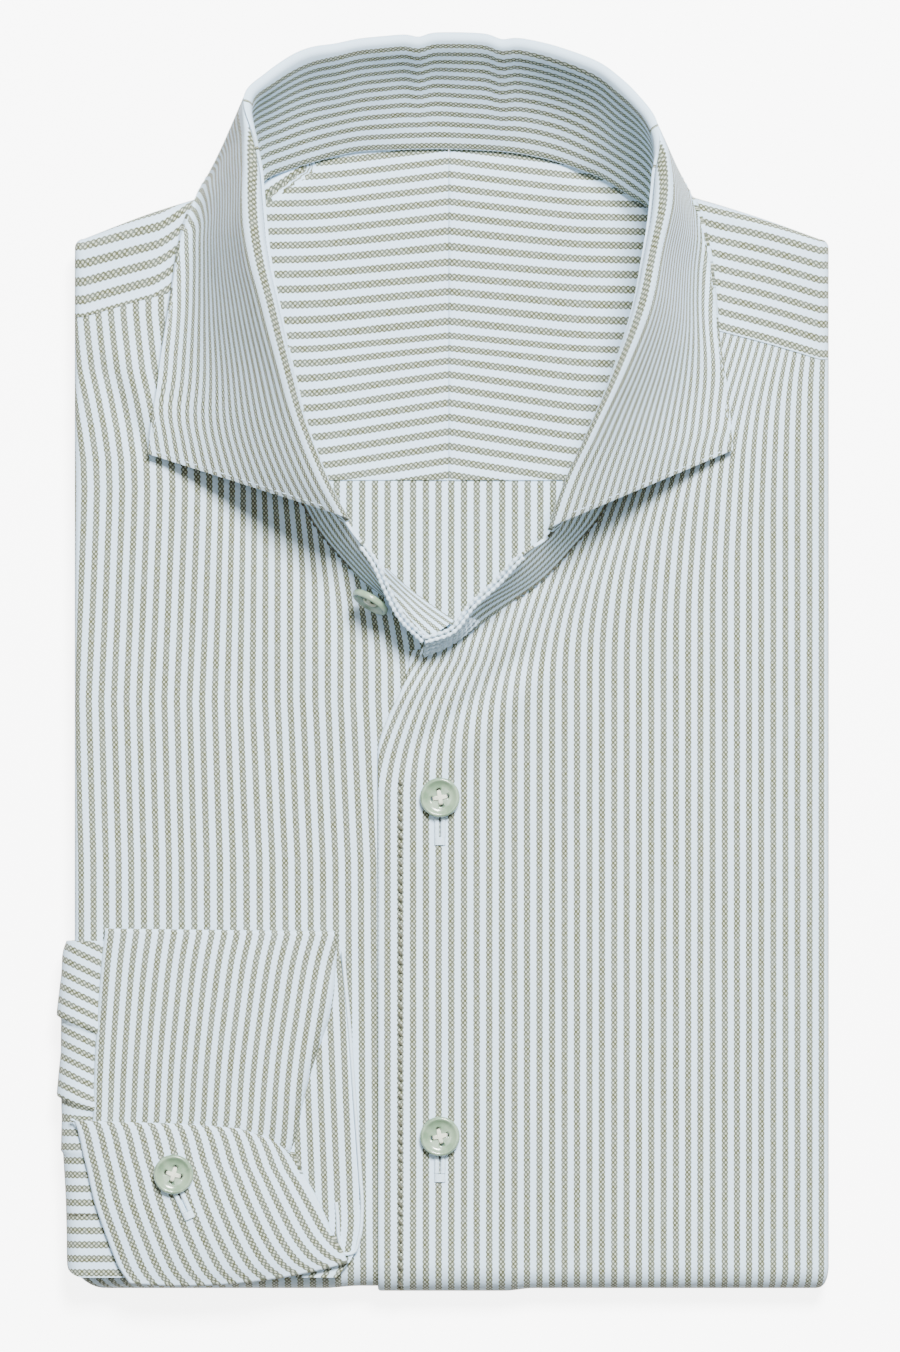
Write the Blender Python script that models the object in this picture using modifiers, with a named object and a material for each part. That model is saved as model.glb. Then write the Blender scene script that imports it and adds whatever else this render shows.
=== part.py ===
"""A folded dress shirt lying face up, with its spread collar standing open.

Units in the tables are millimetres. X runs to the right of the shirt as it lies,
Y towards the collar and Z up from the surface that it rests on.
"""
import math
from collections import namedtuple

import bmesh
import bpy
from mathutils import Vector

MM = 0.001

# Driving sizes of the folded body
BODY_HEIGHT = 13.0
SIDE_LEFT = -103.6
SIDE_RIGHT = 106.8
BOTTOM_EDGE = -174.4
HEM_EDGE = 112.0
CLOTH = 1.0
GAP = 0.3
LAP = CLOTH + GAP + 0.1
CORNER_LEFT = 6.5
CORNER_RIGHT = 1.0
SIDE_FOLD_RADIUS = 2.5
SIDE_FLAP = 12.0
BOTTOM_RADIUS = BODY_HEIGHT / 2
TURN_LINE = BOTTOM_EDGE + BOTTOM_RADIUS
SHOULDER_RADIUS = 3.8
SHOULDER_UNDER = BODY_HEIGHT - 2 * SHOULDER_RADIUS
SHOULDER_FLAP = 14.0
DIP_START = -34.0
DIP_END = -24.0
LEFT_FRONT_EDGE = 14.8
FAN_LENGTH = 75.0
RISE_LENGTH = 80.0
CORNER_REACH = 30.0
RAISE_END = 16.5
RAISE_FADE = 8.0

# Sizes of the collar, sleeve and buttons
COLLAR_CLOTH = 1.4
LEAF_ROLL = 3.0
LEAF_HOOK = 2.5
SLEEVE_CLOTH = 1.2
CUFF_CLOTH = 1.5
BUTTON_RADIUS = 5.55
BUTTON_HEIGHT = 2.4

WHITE = (0.72, 0.77, 0.82, 1.0)
SAGE = (0.50, 0.52, 0.44, 1.0)
MIXED = (0.61, 0.65, 0.64, 1.0)
PEARL = (0.80, 0.82, 0.74, 1.0)


def lerp(a, b, t):
    return a + (b - a) * t


def ease(t):
    t = min(1.0, max(0.0, t))
    return t * t * (3 - 2 * t)


def look_up(table, x):
    """Value at x in a table of (x, value) rows, straight between rows."""
    if x <= table[0][0]:
        return table[0][1]
    for (x0, v0), (x1, v1) in zip(table, table[1:]):
        if x <= x1:
            return lerp(v0, v1, (x - x0) / (x1 - x0))
    return table[-1][1]


def smooth_rows(rows, steps):
    """More rows on a smooth curve through the given rows of equal length."""
    out = []
    last = len(rows) - 1
    for i in range(last):
        start, end = rows[i], rows[i + 1]
        before, after = rows[max(i - 1, 0)], rows[min(i + 2, last)]
        for k in range(steps):
            t = k / steps
            values = []
            for p, a, b, n in zip(before, start, end, after):
                curve = 2 * a + (b - p) * t + (2 * p - 5 * a + 4 * b - n) * t * t
                values.append(0.5 * (curve + (3 * a - 3 * b + n - p) * t ** 3))
            out.append(values)
    out.append(list(rows[-1]))
    return out


def clear_scene():
    for old in list(bpy.data.objects):
        bpy.data.objects.remove(old, do_unlink=True)


def make_collection(name):
    made = bpy.data.collections.new(name)
    bpy.context.scene.collection.children.link(made)
    return made


def make_material(name, colour, roughness):
    material = bpy.data.materials.new(name)
    material.use_nodes = True
    shader = material.node_tree.nodes["Principled BSDF"]
    shader.inputs["Base Color"].default_value = colour
    shader.inputs["Roughness"].default_value = roughness
    shader.inputs["Metallic"].default_value = 0.0
    return material


def add_object(name, mesh, colour, roughness=0.85):
    piece = bpy.data.objects.new(name, mesh)
    mesh.materials.append(make_material(name, colour, roughness))
    shirt.objects.link(piece)
    return piece


def grid_mesh(name, grid, outward, wrap=False):
    """Mesh of quads over a grid of points in millimetres; its first quad faces outward."""
    mesh = bpy.data.meshes.new(name)
    edit = bmesh.new()
    points = [[edit.verts.new(Vector(p) * MM) for p in row] for row in grid]
    for lower, upper in zip(points, points[1:]):
        count = len(lower)
        for j in range(count if wrap else count - 1):
            edit.faces.new((lower[j], lower[(j + 1) % count], upper[(j + 1) % count], upper[j]))
    edit.normal_update()
    edit.faces.ensure_lookup_table()
    if edit.faces[0].normal.dot(Vector(outward)) < 0:
        bmesh.ops.reverse_faces(edit, faces=edit.faces)
    edit.to_mesh(mesh)
    edit.free()
    mesh.shade_smooth()
    return mesh


def cloth(name, grid, outward, colour, thickness=CLOTH):
    """A wall of cloth whose outer face passes through the grid's points."""
    piece = add_object(name, grid_mesh(name, grid, outward), colour)
    shell = piece.modifiers.new("thickness", "SOLIDIFY")
    shell.thickness = thickness * MM
    shell.offset = -1.0
    shell.use_even_offset = True
    shell.use_rim = True
    return piece


# Fronts: each column starts on the neck or yoke seam and runs down to its place on the body

FrontColumn = namedtuple("FrontColumn", "seam_x seam_y seam_z body_x")

LEFT_COLUMNS = (
    FrontColumn(LEFT_FRONT_EDGE, 4.6, 13.6, LEFT_FRONT_EDGE),
    FrontColumn(6.7, 7.4, 14.0, 7.0),
    FrontColumn(-2.2, 11.4, 14.5, -2.0),
    FrontColumn(-12.3, 15.8, 14.8, -13.0),
    FrontColumn(-21.7, 21.4, 15.0, -24.0),
    FrontColumn(-30.1, 29.8, 15.0, -34.0),
    FrontColumn(-38.7, 42.0, 15.0, -44.0),
    FrontColumn(-46.0, 59.4, 15.0, -54.0),
    FrontColumn(-51.0, 76.3, 15.0, -64.0),
    FrontColumn(-54.0, 93.5, 14.9, -74.0),
    FrontColumn(-55.5, 109.6, 14.7, -82.0),
    FrontColumn(-68.9, 105.8, 13.6, -89.0),
    FrontColumn(-85.7, 101.4, 13.1, -95.5),
)

RIGHT_COLUMNS = (
    FrontColumn(-9.5, 2.5, 14.4, -18.2),
    FrontColumn(-4.5, 3.4, 14.5, -11.0),
    FrontColumn(2.0, 6.0, 14.6, -3.0),
    FrontColumn(14.6, 14.2, 14.6, 10.0),
    FrontColumn(21.4, 18.6, 14.8, 19.0),
    FrontColumn(29.1, 24.9, 15.0, 28.0),
    FrontColumn(36.8, 33.5, 15.0, 37.0),
    FrontColumn(44.0, 42.2, 15.0, 46.0),
    FrontColumn(53.2, 60.8, 15.0, 56.0),
    FrontColumn(58.2, 76.3, 15.0, 66.0),
    FrontColumn(61.8, 97.2, 14.9, 77.0),
    FrontColumn(75.9, 93.2, 13.6, 87.0),
    FrontColumn(90.7, 89.3, 13.1, 97.0),
)

TOP_STEPS = (0.0, 0.05, 0.11, 0.18, 0.26, 0.36, 0.48, 0.60, 0.73, 0.86, 1.0)
TURN_ANGLES = (22.5, 45.0, 67.5, 90.0, 112.5, 135.0, 157.5, 180.0)
UNDER_STEPS = (0.25, 0.5, 0.75, 1.0)
FOLD_ANGLES = (0.0, 30.0, 60.0, 90.0, 120.0, 150.0, 180.0)


def front_panel(name, columns, fold_x, fold_y, sign, corner, lap_top, lap_under):
    """One front, from its seams down, round the bottom fold and up to the folded hem.

    fold_x is the body's side, fold_y the yoke seam there, corner how far the bottom corner
    is rounded off, and the two laps give the raise on top and the dip underneath at an x in the overlap.
    """
    centre_x = fold_x - sign * SIDE_FOLD_RADIUS
    sides = [(centre_x + sign * SIDE_FOLD_RADIUS * math.sin(math.radians(a)),
              SIDE_FOLD_RADIUS * (1 - math.cos(math.radians(a)))) for a in FOLD_ANGLES]
    sides.append((centre_x - sign * SIDE_FLAP, 2 * SIDE_FOLD_RADIUS))

    def place(column, along, turn):
        """Point at a share of the way down the top, or at a turn angle or on the underside."""
        if column < len(columns):
            c = columns[column]
            seam_x, seam_y, seam_z, body_x, depth = (*c, 0.0)
        else:
            body_x, depth = sides[column - len(columns)]
            seam_x, seam_y, seam_z = (body_x, fold_y, BODY_HEIGHT)
        if turn is None:
            y = lerp(seam_y, TURN_LINE, along)
            x = lerp(seam_x, body_x, ease((seam_y - y) / FAN_LENGTH))
            rise = (seam_z - BODY_HEIGHT) * (1 - ease((seam_y - y) / RISE_LENGTH))
            return (x, y, BODY_HEIGHT + rise - depth + lap_top(x))
        share = turn / 180
        bend = math.radians(turn)
        depth += lerp(-lap_top(body_x), lap_under(body_x), share)
        radius = BOTTOM_RADIUS - depth
        inset = sign * corner * (1 - abs(math.cos(bend)))
        pull = ease((abs(body_x) - abs(centre_x)) / CORNER_REACH + 1)
        y = TURN_LINE - radius * math.sin(bend)
        if along is not None:
            y = lerp(TURN_LINE, HEM_EDGE, along)
        return (body_x - inset * pull, y, BOTTOM_RADIUS + radius * math.cos(bend))

    total = range(len(columns) + len(sides))
    grid = [[place(c, t, None) for c in total] for t in TOP_STEPS]
    grid += [[place(c, None, a) for c in total] for a in TURN_ANGLES]
    grid += [[place(c, t, 180.0) for c in total] for t in UNDER_STEPS]
    return cloth(name, grid, (0, 0, 1), MIXED)


def none(x):
    return 0.0


def raise_over(x):
    """The right front lies over the left one as far as the left one's edge."""
    return LAP * (1 - ease((x - RAISE_END) / RAISE_FADE))


def dip_under(x):
    """The left front lies inside the right one from the right one's edge on."""
    return LAP * ease((x - DIP_START) / (DIP_END - DIP_START))


# Outer yokes: each column runs from the yoke seam over the shoulder fold

YokeColumn = namedtuple("YokeColumn", "seam_x seam_y seam_z ridge_x ridge_y ridge_z")

LEFT_YOKE = (
    YokeColumn(-55.5, 109.9, 14.7, -53.6, 134.0, 13.9),
    YokeColumn(-61.5, 108.2, 14.2, -58.5, 133.2, 13.3),
    YokeColumn(-68.9, 106.1, 13.6, -66.5, 130.8, 13.0),
    YokeColumn(-85.7, 101.7, 13.1, -84.0, 125.3, 13.0),
)

RIGHT_YOKE = (
    YokeColumn(61.8, 97.5, 14.9, 58.4, 131.0, 13.9),
    YokeColumn(67.5, 95.8, 14.2, 64.0, 131.4, 13.3),
    YokeColumn(75.9, 93.5, 13.6, 72.0, 129.4, 13.0),
    YokeColumn(90.7, 89.6, 13.1, 89.0, 124.1, 13.0),
)


def outer_yoke(name, columns, fold_x, seam_y, ridge_y, sign):
    """The front of the yoke, over the shoulder fold and under, with its side turned down."""
    centre_x = fold_x - sign * SIDE_FOLD_RADIUS
    rows = [(*c, 0.0) for c in columns]
    for angle in (0.0, 30.0, 60.0, 90.0):
        x = centre_x + sign * SIDE_FOLD_RADIUS * math.sin(math.radians(angle))
        drop = SIDE_FOLD_RADIUS * (1 - math.cos(math.radians(angle)))
        rows.append((x, seam_y, BODY_HEIGHT, x, ridge_y, BODY_HEIGHT, drop))
    grid = []
    for t in (0.0, 0.2, 0.4, 0.6, 0.8, 1.0):
        line = []
        for sx, sy, sz, rx, ry, rz, drop in rows:
            top = ry - SHOULDER_RADIUS
            line.append((lerp(sx, rx, t), lerp(sy, top, t), lerp(sz, rz, ease(t)) - drop))
        grid.append(line)
    for angle in TURN_ANGLES:
        bend = math.radians(angle)
        line = []
        for sx, sy, sz, rx, ry, rz, drop in rows:
            y = ry - SHOULDER_RADIUS + (SHOULDER_RADIUS - drop) * math.sin(bend)
            half = (rz - SHOULDER_UNDER) / 2
            line.append((rx, y, SHOULDER_UNDER + half + (half - drop) * math.cos(bend)))
        grid.append(line)
    grid.append([(x, y - SHOULDER_FLAP, z) for x, y, z in grid[-1]])
    return cloth(name, grid, (0, 0, 1), MIXED)


# Inner yokes and back panel: the flat layer that shows through the neck

INNER_TOP = 11.2
YOKE_LINE = 51.2
CENTRE_SEAM = 0.8
YOKE_PUFF = 0.25
BACK_ROWS = (YOKE_LINE, 38.0, 24.0, 10.0, -5.0, -20.5)
BACK_COLUMNS = (-62, -48, -32, -16, 0, 16, 32, 48, 62)

InnerColumn = namedtuple("InnerColumn", "x top_y top_z")

INNER_COLUMNS = (
    InnerColumn(-66.0, 124.0, 11.2),
    InnerColumn(-58.0, 128.0, 11.3),
    InnerColumn(-50.0, 133.6, 11.6),
    InnerColumn(-37.2, 138.4, 11.2),
    InnerColumn(-25.8, 141.2, 11.1),
    InnerColumn(-12.0, 141.9, 11.1),
    InnerColumn(CENTRE_SEAM, 142.0, 11.1),
    InnerColumn(14.0, 141.4, 11.1),
    InnerColumn(26.9, 139.6, 11.1),
    InnerColumn(44.0, 134.4, 11.5),
    InnerColumn(52.0, 129.4, 11.6),
    InnerColumn(60.0, 124.6, 11.3),
    InnerColumn(67.0, 121.0, 11.2),
)


def inner_yoke(name, first, last, seam_side):
    """Half of the yoke's inner layer; its centre edge is half a gap from the seam."""
    columns = [list(c) for c in INNER_COLUMNS[first:last + 1]]
    columns[-1 if seam_side > 0 else 0][0] -= seam_side * GAP / 2
    grid = []
    for t in (0.0, 0.15, 0.35, 0.55, 0.75, 0.9, 1.0):
        puff = YOKE_PUFF * math.sin(math.pi * t)
        grid.append([(x, lerp(YOKE_LINE + GAP, y, t), lerp(INNER_TOP, z, t * t) + puff)
                     for x, y, z in columns])
    return cloth(name, grid, (0, 0, 1), WHITE)


def back_panel():
    """The back below the yoke, as far down as it lies apart from the folded layers."""
    grid = [[(x, y, INNER_TOP) for x in BACK_COLUMNS] for y in BACK_ROWS]
    return cloth("back_panel", grid, (0, 0, 1), MIXED)


# Folded layers: slabs with rounded edges, joined

NECK_HALF_WIDTH = 69.0
CORE_LOW = CLOTH + GAP + 0.1
CORE_HIGH = BODY_HEIGHT - CORE_LOW
CORE_UNDER_BACK = INNER_TOP - CLOTH - GAP
BLOCK_INSET = SIDE_FOLD_RADIUS + SIDE_FLAP + 0.5
BLOCK_END = 97.5
WING_DEPTH = 2.2
FOLD_INSET = SIDE_FOLD_RADIUS - 1.1
LEDGE_INSET = 1.6
SHOULDER_END = 114.2
NECK_CORNER = 124.5
TAIL_END = HEM_EDGE - 1.0
LEDGE_TOP = 96.0
SLEEVE_ROOT_END = -70.0
NECK_EDGE = ((70.0, NECK_CORNER), (58.0, 127.5), (44.0, 132.0), (26.9, 137.6), (0.0, 139.8),
             (-25.8, 139.0), (-37.2, 136.4), (-48.0, 131.6), (-58.0, 128.0), (-69.0, NECK_CORNER))


def closed_loft(name, grid):
    """A solid through closed rings of points, with both ends filled."""
    mesh = grid_mesh(name, grid, (0, 0, 0), wrap=True)
    edit = bmesh.new()
    edit.from_mesh(mesh)
    bmesh.ops.holes_fill(edit, edges=edit.edges, sides=0)
    bmesh.ops.recalc_face_normals(edit, faces=edit.faces)
    edit.to_mesh(mesh)
    edit.free()
    return mesh


def slab(name, outline, low, high, edge):
    """A flat stack of cloth over an outline, with its edge rounded by the given radius."""
    count = len(outline)
    corners = [Vector(p) for p in outline]
    insets = []
    for i, corner in enumerate(corners):
        into = (corner - corners[i - 1]).normalized()
        away = (corners[(i + 1) % count] - corner).normalized()
        left = (Vector((-into.y, into.x)) + Vector((-away.y, away.x))).normalized()
        insets.append(left / max(0.5, left.dot(Vector((-into.y, into.x)))))
    grid = []
    for z, angles in ((low, (0, 30, 60, 90)), (high, (90, 60, 30, 0))):
        sign = 1 if z == low else -1
        for angle in angles:
            bend = math.radians(angle)
            inset = edge * (1 - math.sin(bend))
            level = z + sign * edge * (1 - math.cos(bend))
            grid.append([(*(p + n * inset), level) for p, n in zip(corners, insets)])
    return closed_loft(name, grid)


def middle_block(name):
    """The stack's middle, its lower end rounded to fit inside the bottom fold.

    Underneath it is hollowed where the left front lies inside the right one.
    """
    left = SIDE_LEFT + BLOCK_INSET
    right = SIDE_RIGHT - BLOCK_INSET
    middle = BODY_HEIGHT / 2
    radius = middle - CORE_LOW
    columns = ((left, 0.0), (DIP_START - 2, 0.0), (DIP_END - 1, LAP), (LEFT_FRONT_EDGE + 1, LAP),
               (LEFT_FRONT_EDGE + 2, 0.0), (right, 0.0))
    grid = []
    for angle in (85, 67.5, 45, 22.5, 0):
        bend = math.radians(angle)
        ring = []
        for sign, order in ((-1, columns), (1, columns[::-1])):
            share = angle / 180 if sign > 0 else 1 - angle / 180
            for x, dip in order:
                reach = radius - dip * share
                x = min(max(x, left + 0.8 * CORNER_LEFT), right - 1.5 * CORNER_RIGHT)
                y = TURN_LINE - reach * math.sin(bend)
                ring.append((x, y, middle + sign * reach * math.cos(bend)))
        grid.append(ring)
    back_start = BACK_ROWS[-1] - 1.5
    levels = ((TURN_LINE + 2, CORE_HIGH), (back_start - 2, CORE_HIGH),
              (back_start, CORE_UNDER_BACK), (BLOCK_END, CORE_UNDER_BACK))
    for y, high in levels:
        ring = [(x, y, CORE_LOW + dip) for x, dip in columns]
        grid.append(ring + [(x, y, high) for x, dip in columns[::-1]])
    return closed_loft(name, grid)


def folded_layers():
    """The joined stack: a middle block, two wings, a two-layer ledge, the tails and the shoulders."""
    fold_left = SIDE_LEFT + FOLD_INSET
    fold_right = SIDE_RIGHT - FOLD_INSET
    ledge_left = SIDE_LEFT + LEDGE_INSET
    ledge_right = SIDE_RIGHT - LEDGE_INSET
    sleeve_root = SIDE_LEFT + BLOCK_INSET + 0.5
    inner_left = DIP_START - 3
    inner_right = LEFT_FRONT_EDGE + 3
    piece = add_object("folded_layers", middle_block("folded_layers"), SAGE)
    wing_left = ((fold_left, TURN_LINE), (-NECK_HALF_WIDTH, TURN_LINE),
                 (-NECK_HALF_WIDTH, NECK_CORNER), (fold_left, SHOULDER_END))
    wing_right = ((NECK_HALF_WIDTH + 1, TURN_LINE), (fold_right, TURN_LINE),
                  (fold_right, SHOULDER_END), (NECK_HALF_WIDTH + 1, NECK_CORNER))
    ledge = ((sleeve_root, TURN_LINE), (ledge_right, TURN_LINE), (ledge_right, LEDGE_TOP - 12),
             (80.0, LEDGE_TOP), (ledge_left, LEDGE_TOP), (ledge_left, SLEEVE_ROOT_END),
             (sleeve_root, SLEEVE_ROOT_END))
    tail_left = ((fold_left, TURN_LINE), (inner_left, TURN_LINE),
                 (inner_left, TAIL_END), (fold_left, TAIL_END))
    tail_right = ((inner_right, TURN_LINE), (fold_right, TURN_LINE),
                  (fold_right, TAIL_END), (inner_right, TAIL_END))
    top = ((fold_left, LEDGE_TOP + 1.6), (0.0, LEDGE_TOP), (fold_right, LEDGE_TOP - 9.8),
           (fold_right, SHOULDER_END), *NECK_EDGE, (fold_left, SHOULDER_END))
    layers = (
        ("upper_left", wing_left, CORE_HIGH - WING_DEPTH, CORE_HIGH, 1.0),
        ("upper_right", wing_right, CORE_HIGH - WING_DEPTH, CORE_HIGH, 1.0),
        ("ledge_low", ledge, 5.3, 6.6, 0.6),
        ("ledge_high", ledge, 6.4, 7.7, 0.6),
        ("tail_left", tail_left, CORE_LOW, CORE_LOW + WING_DEPTH, 1.0),
        ("tail_right", tail_right, CORE_LOW, CORE_LOW + WING_DEPTH, 1.0),
        ("shoulder_low", top, 6.8, 8.5, 0.8),
        ("shoulder_high", top, 8.3, CORE_UNDER_BACK, 0.75),
    )
    for name, outline, low, high, edge in layers:
        mesh = slab(name, outline, low, high, edge)
        layer = bpy.data.objects.new(name, mesh)
        cutters.objects.link(layer)
        layer.hide_render = True
        layer.display_type = "WIRE"
        join = piece.modifiers.new(name, "BOOLEAN")
        join.operation = "UNION"
        join.solver = "EXACT"
        join.object = layer
    return piece


# Collar: stations from the left front end, round the back, to the right front end

Station = namedtuple("Station", "neck_x neck_y neck_z fold_x fold_y fold_z leaf_x leaf_y leaf_z")

LEAF_STATIONS = (
    Station(-39.0, 42.3, 15.4, -26.0, 39.8, 38.0, -83.0, 58.5, 16.0),
    Station(-42.3, 49.0, 15.4, -30.6, 48.0, 41.5, -82.1, 66.8, 16.5),
    Station(-46.2, 59.6, 15.4, -37.5, 64.5, 46.0, -80.7, 75.2, 17.0),
    Station(-51.0, 76.3, 15.4, -42.9, 83.6, 50.0, -79.3, 86.0, 17.0),
    Station(-53.8, 91.6, 15.3, -47.0, 100.1, 52.5, -77.7, 95.8, 17.0),
    Station(-54.8, 104.2, 15.1, -49.8, 111.1, 53.0, -76.0, 105.5, 16.5),
    Station(-54.5, 119.5, 14.9, -52.3, 127.6, 52.0, -73.8, 118.1, 16.0),
    Station(-53.2, 129.8, 14.6, -54.0, 144.2, 49.5, -70.6, 128.4, 14.8),
    Station(-50.2, 135.6, 13.2, -55.0, 156.4, 46.0, -64.8, 138.6, 8.0),
    Station(-43.5, 138.3, 12.2, -49.3, 162.2, 44.0, -57.0, 147.4, 4.0),
    Station(-37.1, 140.3, 11.9, -41.7, 167.5, 42.0, -49.2, 151.5, 2.0),
    Station(-25.7, 143.1, 11.7, -30.4, 171.0, 40.0, -35.3, 153.5, 1.8),
    Station(-12.8, 143.8, 11.6, -18.2, 172.4, 38.5, -19.9, 154.5, 1.8),
    Station(2.5, 143.9, 11.6, -1.6, 173.6, 37.2, -1.6, 155.0, 1.8),
    Station(16.5, 143.2, 11.6, 15.2, 172.8, 37.5, 16.8, 154.5, 1.8),
    Station(26.8, 141.5, 11.7, 31.5, 169.3, 40.0, 33.6, 153.0, 1.8),
    Station(36.0, 138.8, 12.0, 47.5, 162.0, 43.0, 50.4, 149.5, 2.2),
    Station(43.8, 135.8, 12.4, 53.0, 155.8, 45.0, 58.4, 146.0, 4.0),
    Station(51.3, 131.0, 13.2, 57.2, 149.8, 47.0, 64.2, 138.6, 8.0),
    Station(57.0, 127.0, 14.4, 59.6, 141.5, 50.0, 69.4, 128.4, 14.8),
    Station(59.8, 116.7, 14.9, 58.9, 129.6, 51.5, 72.7, 116.7, 16.5),
    Station(61.6, 104.2, 15.2, 55.6, 113.8, 53.0, 74.3, 105.5, 17.0),
    Station(61.6, 91.6, 15.3, 52.3, 98.7, 53.0, 75.7, 93.0, 17.0),
    Station(58.2, 76.3, 15.4, 45.4, 79.8, 50.0, 77.4, 83.5, 17.0),
    Station(53.5, 61.0, 15.4, 37.2, 61.5, 45.0, 78.8, 73.5, 16.5),
    Station(48.5, 50.1, 15.4, 31.5, 49.1, 40.5, 79.4, 65.7, 16.5),
    Station(44.0, 42.3, 15.4, 27.4, 37.0, 37.0, 79.9, 59.6, 16.0),
)

BandEnd = namedtuple("BandEnd", "neck_x neck_y neck_z top_x top_y top_z")

LEFT_BAND = (
    BandEnd(-2.2, 11.7, 15.4, -6.1, 6.6, 24.0),
    BandEnd(-12.3, 16.1, 15.5, -12.2, 12.7, 28.0),
    BandEnd(-21.7, 21.7, 15.5, -16.1, 19.9, 31.0),
    BandEnd(-30.1, 30.1, 15.5, -19.9, 28.2, 34.0),
)

RIGHT_BAND = (
    BandEnd(36.8, 33.7, 15.4, 21.1, 29.9, 34.0),
    BandEnd(27.6, 23.9, 15.6, 14.4, 22.7, 31.0),
    BandEnd(15.0, 14.8, 16.2, 7.2, 16.1, 28.5),
    BandEnd(2.5, 6.4, 16.4, 1.5, 8.6, 26.0),
)

ROLL_ANGLES = 5
STAND_STEPS = (0.0, 0.18, 0.4, 0.62, 0.82, 1.0)
LEAF_STEPS = (0.12, 0.26, 0.42, 0.58, 0.74, 0.88, 1.0)
SIDE_FLARE = 0.55
POINT_FLARE = 0.1
POINT_SWELL = 0.5


def leaf_form(leaf):
    """How much the leaf flares outward and swells between fold and edge; none at the back."""
    side = ease((leaf.z - 8.0) / 6.5)
    point = ease((100.0 - leaf.y) / 40.0)
    return side * lerp(SIDE_FLARE, POINT_FLARE, point), side * POINT_SWELL * point


def roll(neck, fold, leaf, steepness):
    """Stand's top, then the points of the roll between stand and leaf."""
    up = (fold - neck).normalized()
    down = (leaf - fold) * Vector((1, 1, steepness))
    down.normalize()
    crest = (up - down).normalized()
    side = (up + down).normalized()
    half = math.atan2(up.dot(side), up.dot(crest))
    centre = fold - crest * LEAF_ROLL
    points = []
    for k in range(ROLL_ANGLES + 1):
        angle = lerp(math.pi - half, half, k / ROLL_ANGLES)
        points.append(centre + side * (LEAF_ROLL * math.cos(angle)) + crest * (LEAF_ROLL * math.sin(angle)))
    hook = points[0] - up * LEAF_HOOK
    return hook - up * GAP, [hook] + points


def fall(start, leaf, flare, swell):
    """Points of the leaf from the roll to its edge."""
    points = []
    for t in LEAF_STEPS:
        point = start.lerp(leaf, t)
        point.z = lerp(start.z, leaf.z, lerp(t, ease(t), swell) + flare * t * (1 - t))
        points.append(point)
    return points


def collar():
    stand_rows, leaf_rows = [], []
    for values in smooth_rows(LEAF_STATIONS, 2):
        neck, fold, leaf = (Vector(values[k:k + 3]) for k in (0, 3, 6))
        flare, swell = leaf_form(leaf)
        top, rolled = roll(neck, fold, leaf, 1 + flare - swell)
        stand_rows.append([neck.lerp(top, t) for t in STAND_STEPS])
        leaf_rows.append(rolled + fall(rolled[-1], leaf, flare, swell))
    for ends, front in ((LEFT_BAND, True), (RIGHT_BAND, False)):
        rows = []
        for end in ends:
            neck, top = Vector(end[:3]), Vector(end[3:])
            rows.append([neck.lerp(top, t) for t in STAND_STEPS])
        stand_rows = rows + stand_rows if front else stand_rows + rows
    cloth("collar_stand", stand_rows, (1, 0, 0), WHITE, COLLAR_CLOTH)
    cloth("collar_leaf", leaf_rows, (1, 0, 0), MIXED, COLLAR_CLOTH)


# Sleeve and cuff, brought round the left side onto the front

SleeveRow = namedtuple("SleeveRow", "y side_x right_x")

SLEEVE_UNDER_ROWS = (
    SleeveRow(-77.2, -105.9, -30.5),
    SleeveRow(-79.0, -106.6, -30.0),
    SleeveRow(-88.0, -107.2, -28.6),
    SleeveRow(-104.0, -107.5, -27.2),
    SleeveRow(-122.0, -107.4, -26.0),
    SleeveRow(-136.0, -106.9, -25.0),
    SleeveRow(-148.0, -106.2, -24.2),
    SleeveRow(-158.0, -105.9, -24.0),
    SleeveRow(-166.0, -105.8, -26.5),
    SleeveRow(-171.0, -105.6, -30.5),
)

SLEEVE_UNDER_TOP = BODY_HEIGHT + GAP + SLEEVE_CLOTH
GROOVE_LEVEL = 5.9
SLEEVE_ACROSS = (0.0, 0.04, 0.14, 0.28, 0.42, 0.56, 0.70, 0.84, 1.0)
SLEEVE_TUCK = 1.5


def sleeve_under():
    """The sleeve's under layer: out of the side groove, round the side and over the front."""
    radius = (SLEEVE_UNDER_TOP - GROOVE_LEVEL) / 2
    centre_z = (SLEEVE_UNDER_TOP + GROOVE_LEVEL) / 2
    root_x = SIDE_LEFT + SIDE_FOLD_RADIUS + SIDE_FLAP
    grid = []
    turn_x = SIDE_LEFT + SIDE_FOLD_RADIUS
    for y, side_x, right_x in SLEEVE_UNDER_ROWS:
        line = [(lerp(right_x, turn_x, t), y, SLEEVE_UNDER_TOP) for t in SLEEVE_ACROSS]
        root_y = max(y, TURN_LINE + GAP)
        for angle in TURN_ANGLES:
            bend = math.radians(angle)
            reach = (turn_x - side_x) * math.sin(bend)
            inner_y = lerp(y, root_y, ease(angle / 120))
            line.append((turn_x - reach, inner_y, centre_z + radius * math.cos(bend)))
        line.append((root_x - SLEEVE_TUCK, root_y, GROOVE_LEVEL))
        grid.append(line)
    return cloth("sleeve_under", grid, (0, 0, 1), MIXED, SLEEVE_CLOTH)


# Where the sleeve is sewn to the cuff, as (x, y) from left to right
CUFF_SEAM = ((-103.8, -127.6), (-90.4, -128.0), (-70.0, -128.6),
             (-57.7, -129.8), (-49.0, -132.6), (-43.8, -136.2))

PanelRow = namedtuple("PanelRow", "left_x left_y right_x right_y")

SLEEVE_UPPER_ROWS = (
    PanelRow(-95.0, -74.8, -30.2, -75.6),
    PanelRow(-96.0, -84.0, -30.4, -84.0),
    PanelRow(-97.0, -97.0, -31.9, -97.0),
    PanelRow(-97.8, -110.0, -36.3, -110.0),
    PanelRow(-98.2, -120.0, -40.6, -124.0),
    PanelRow(-98.6, -127.2, -44.9, -134.6),
)

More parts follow.
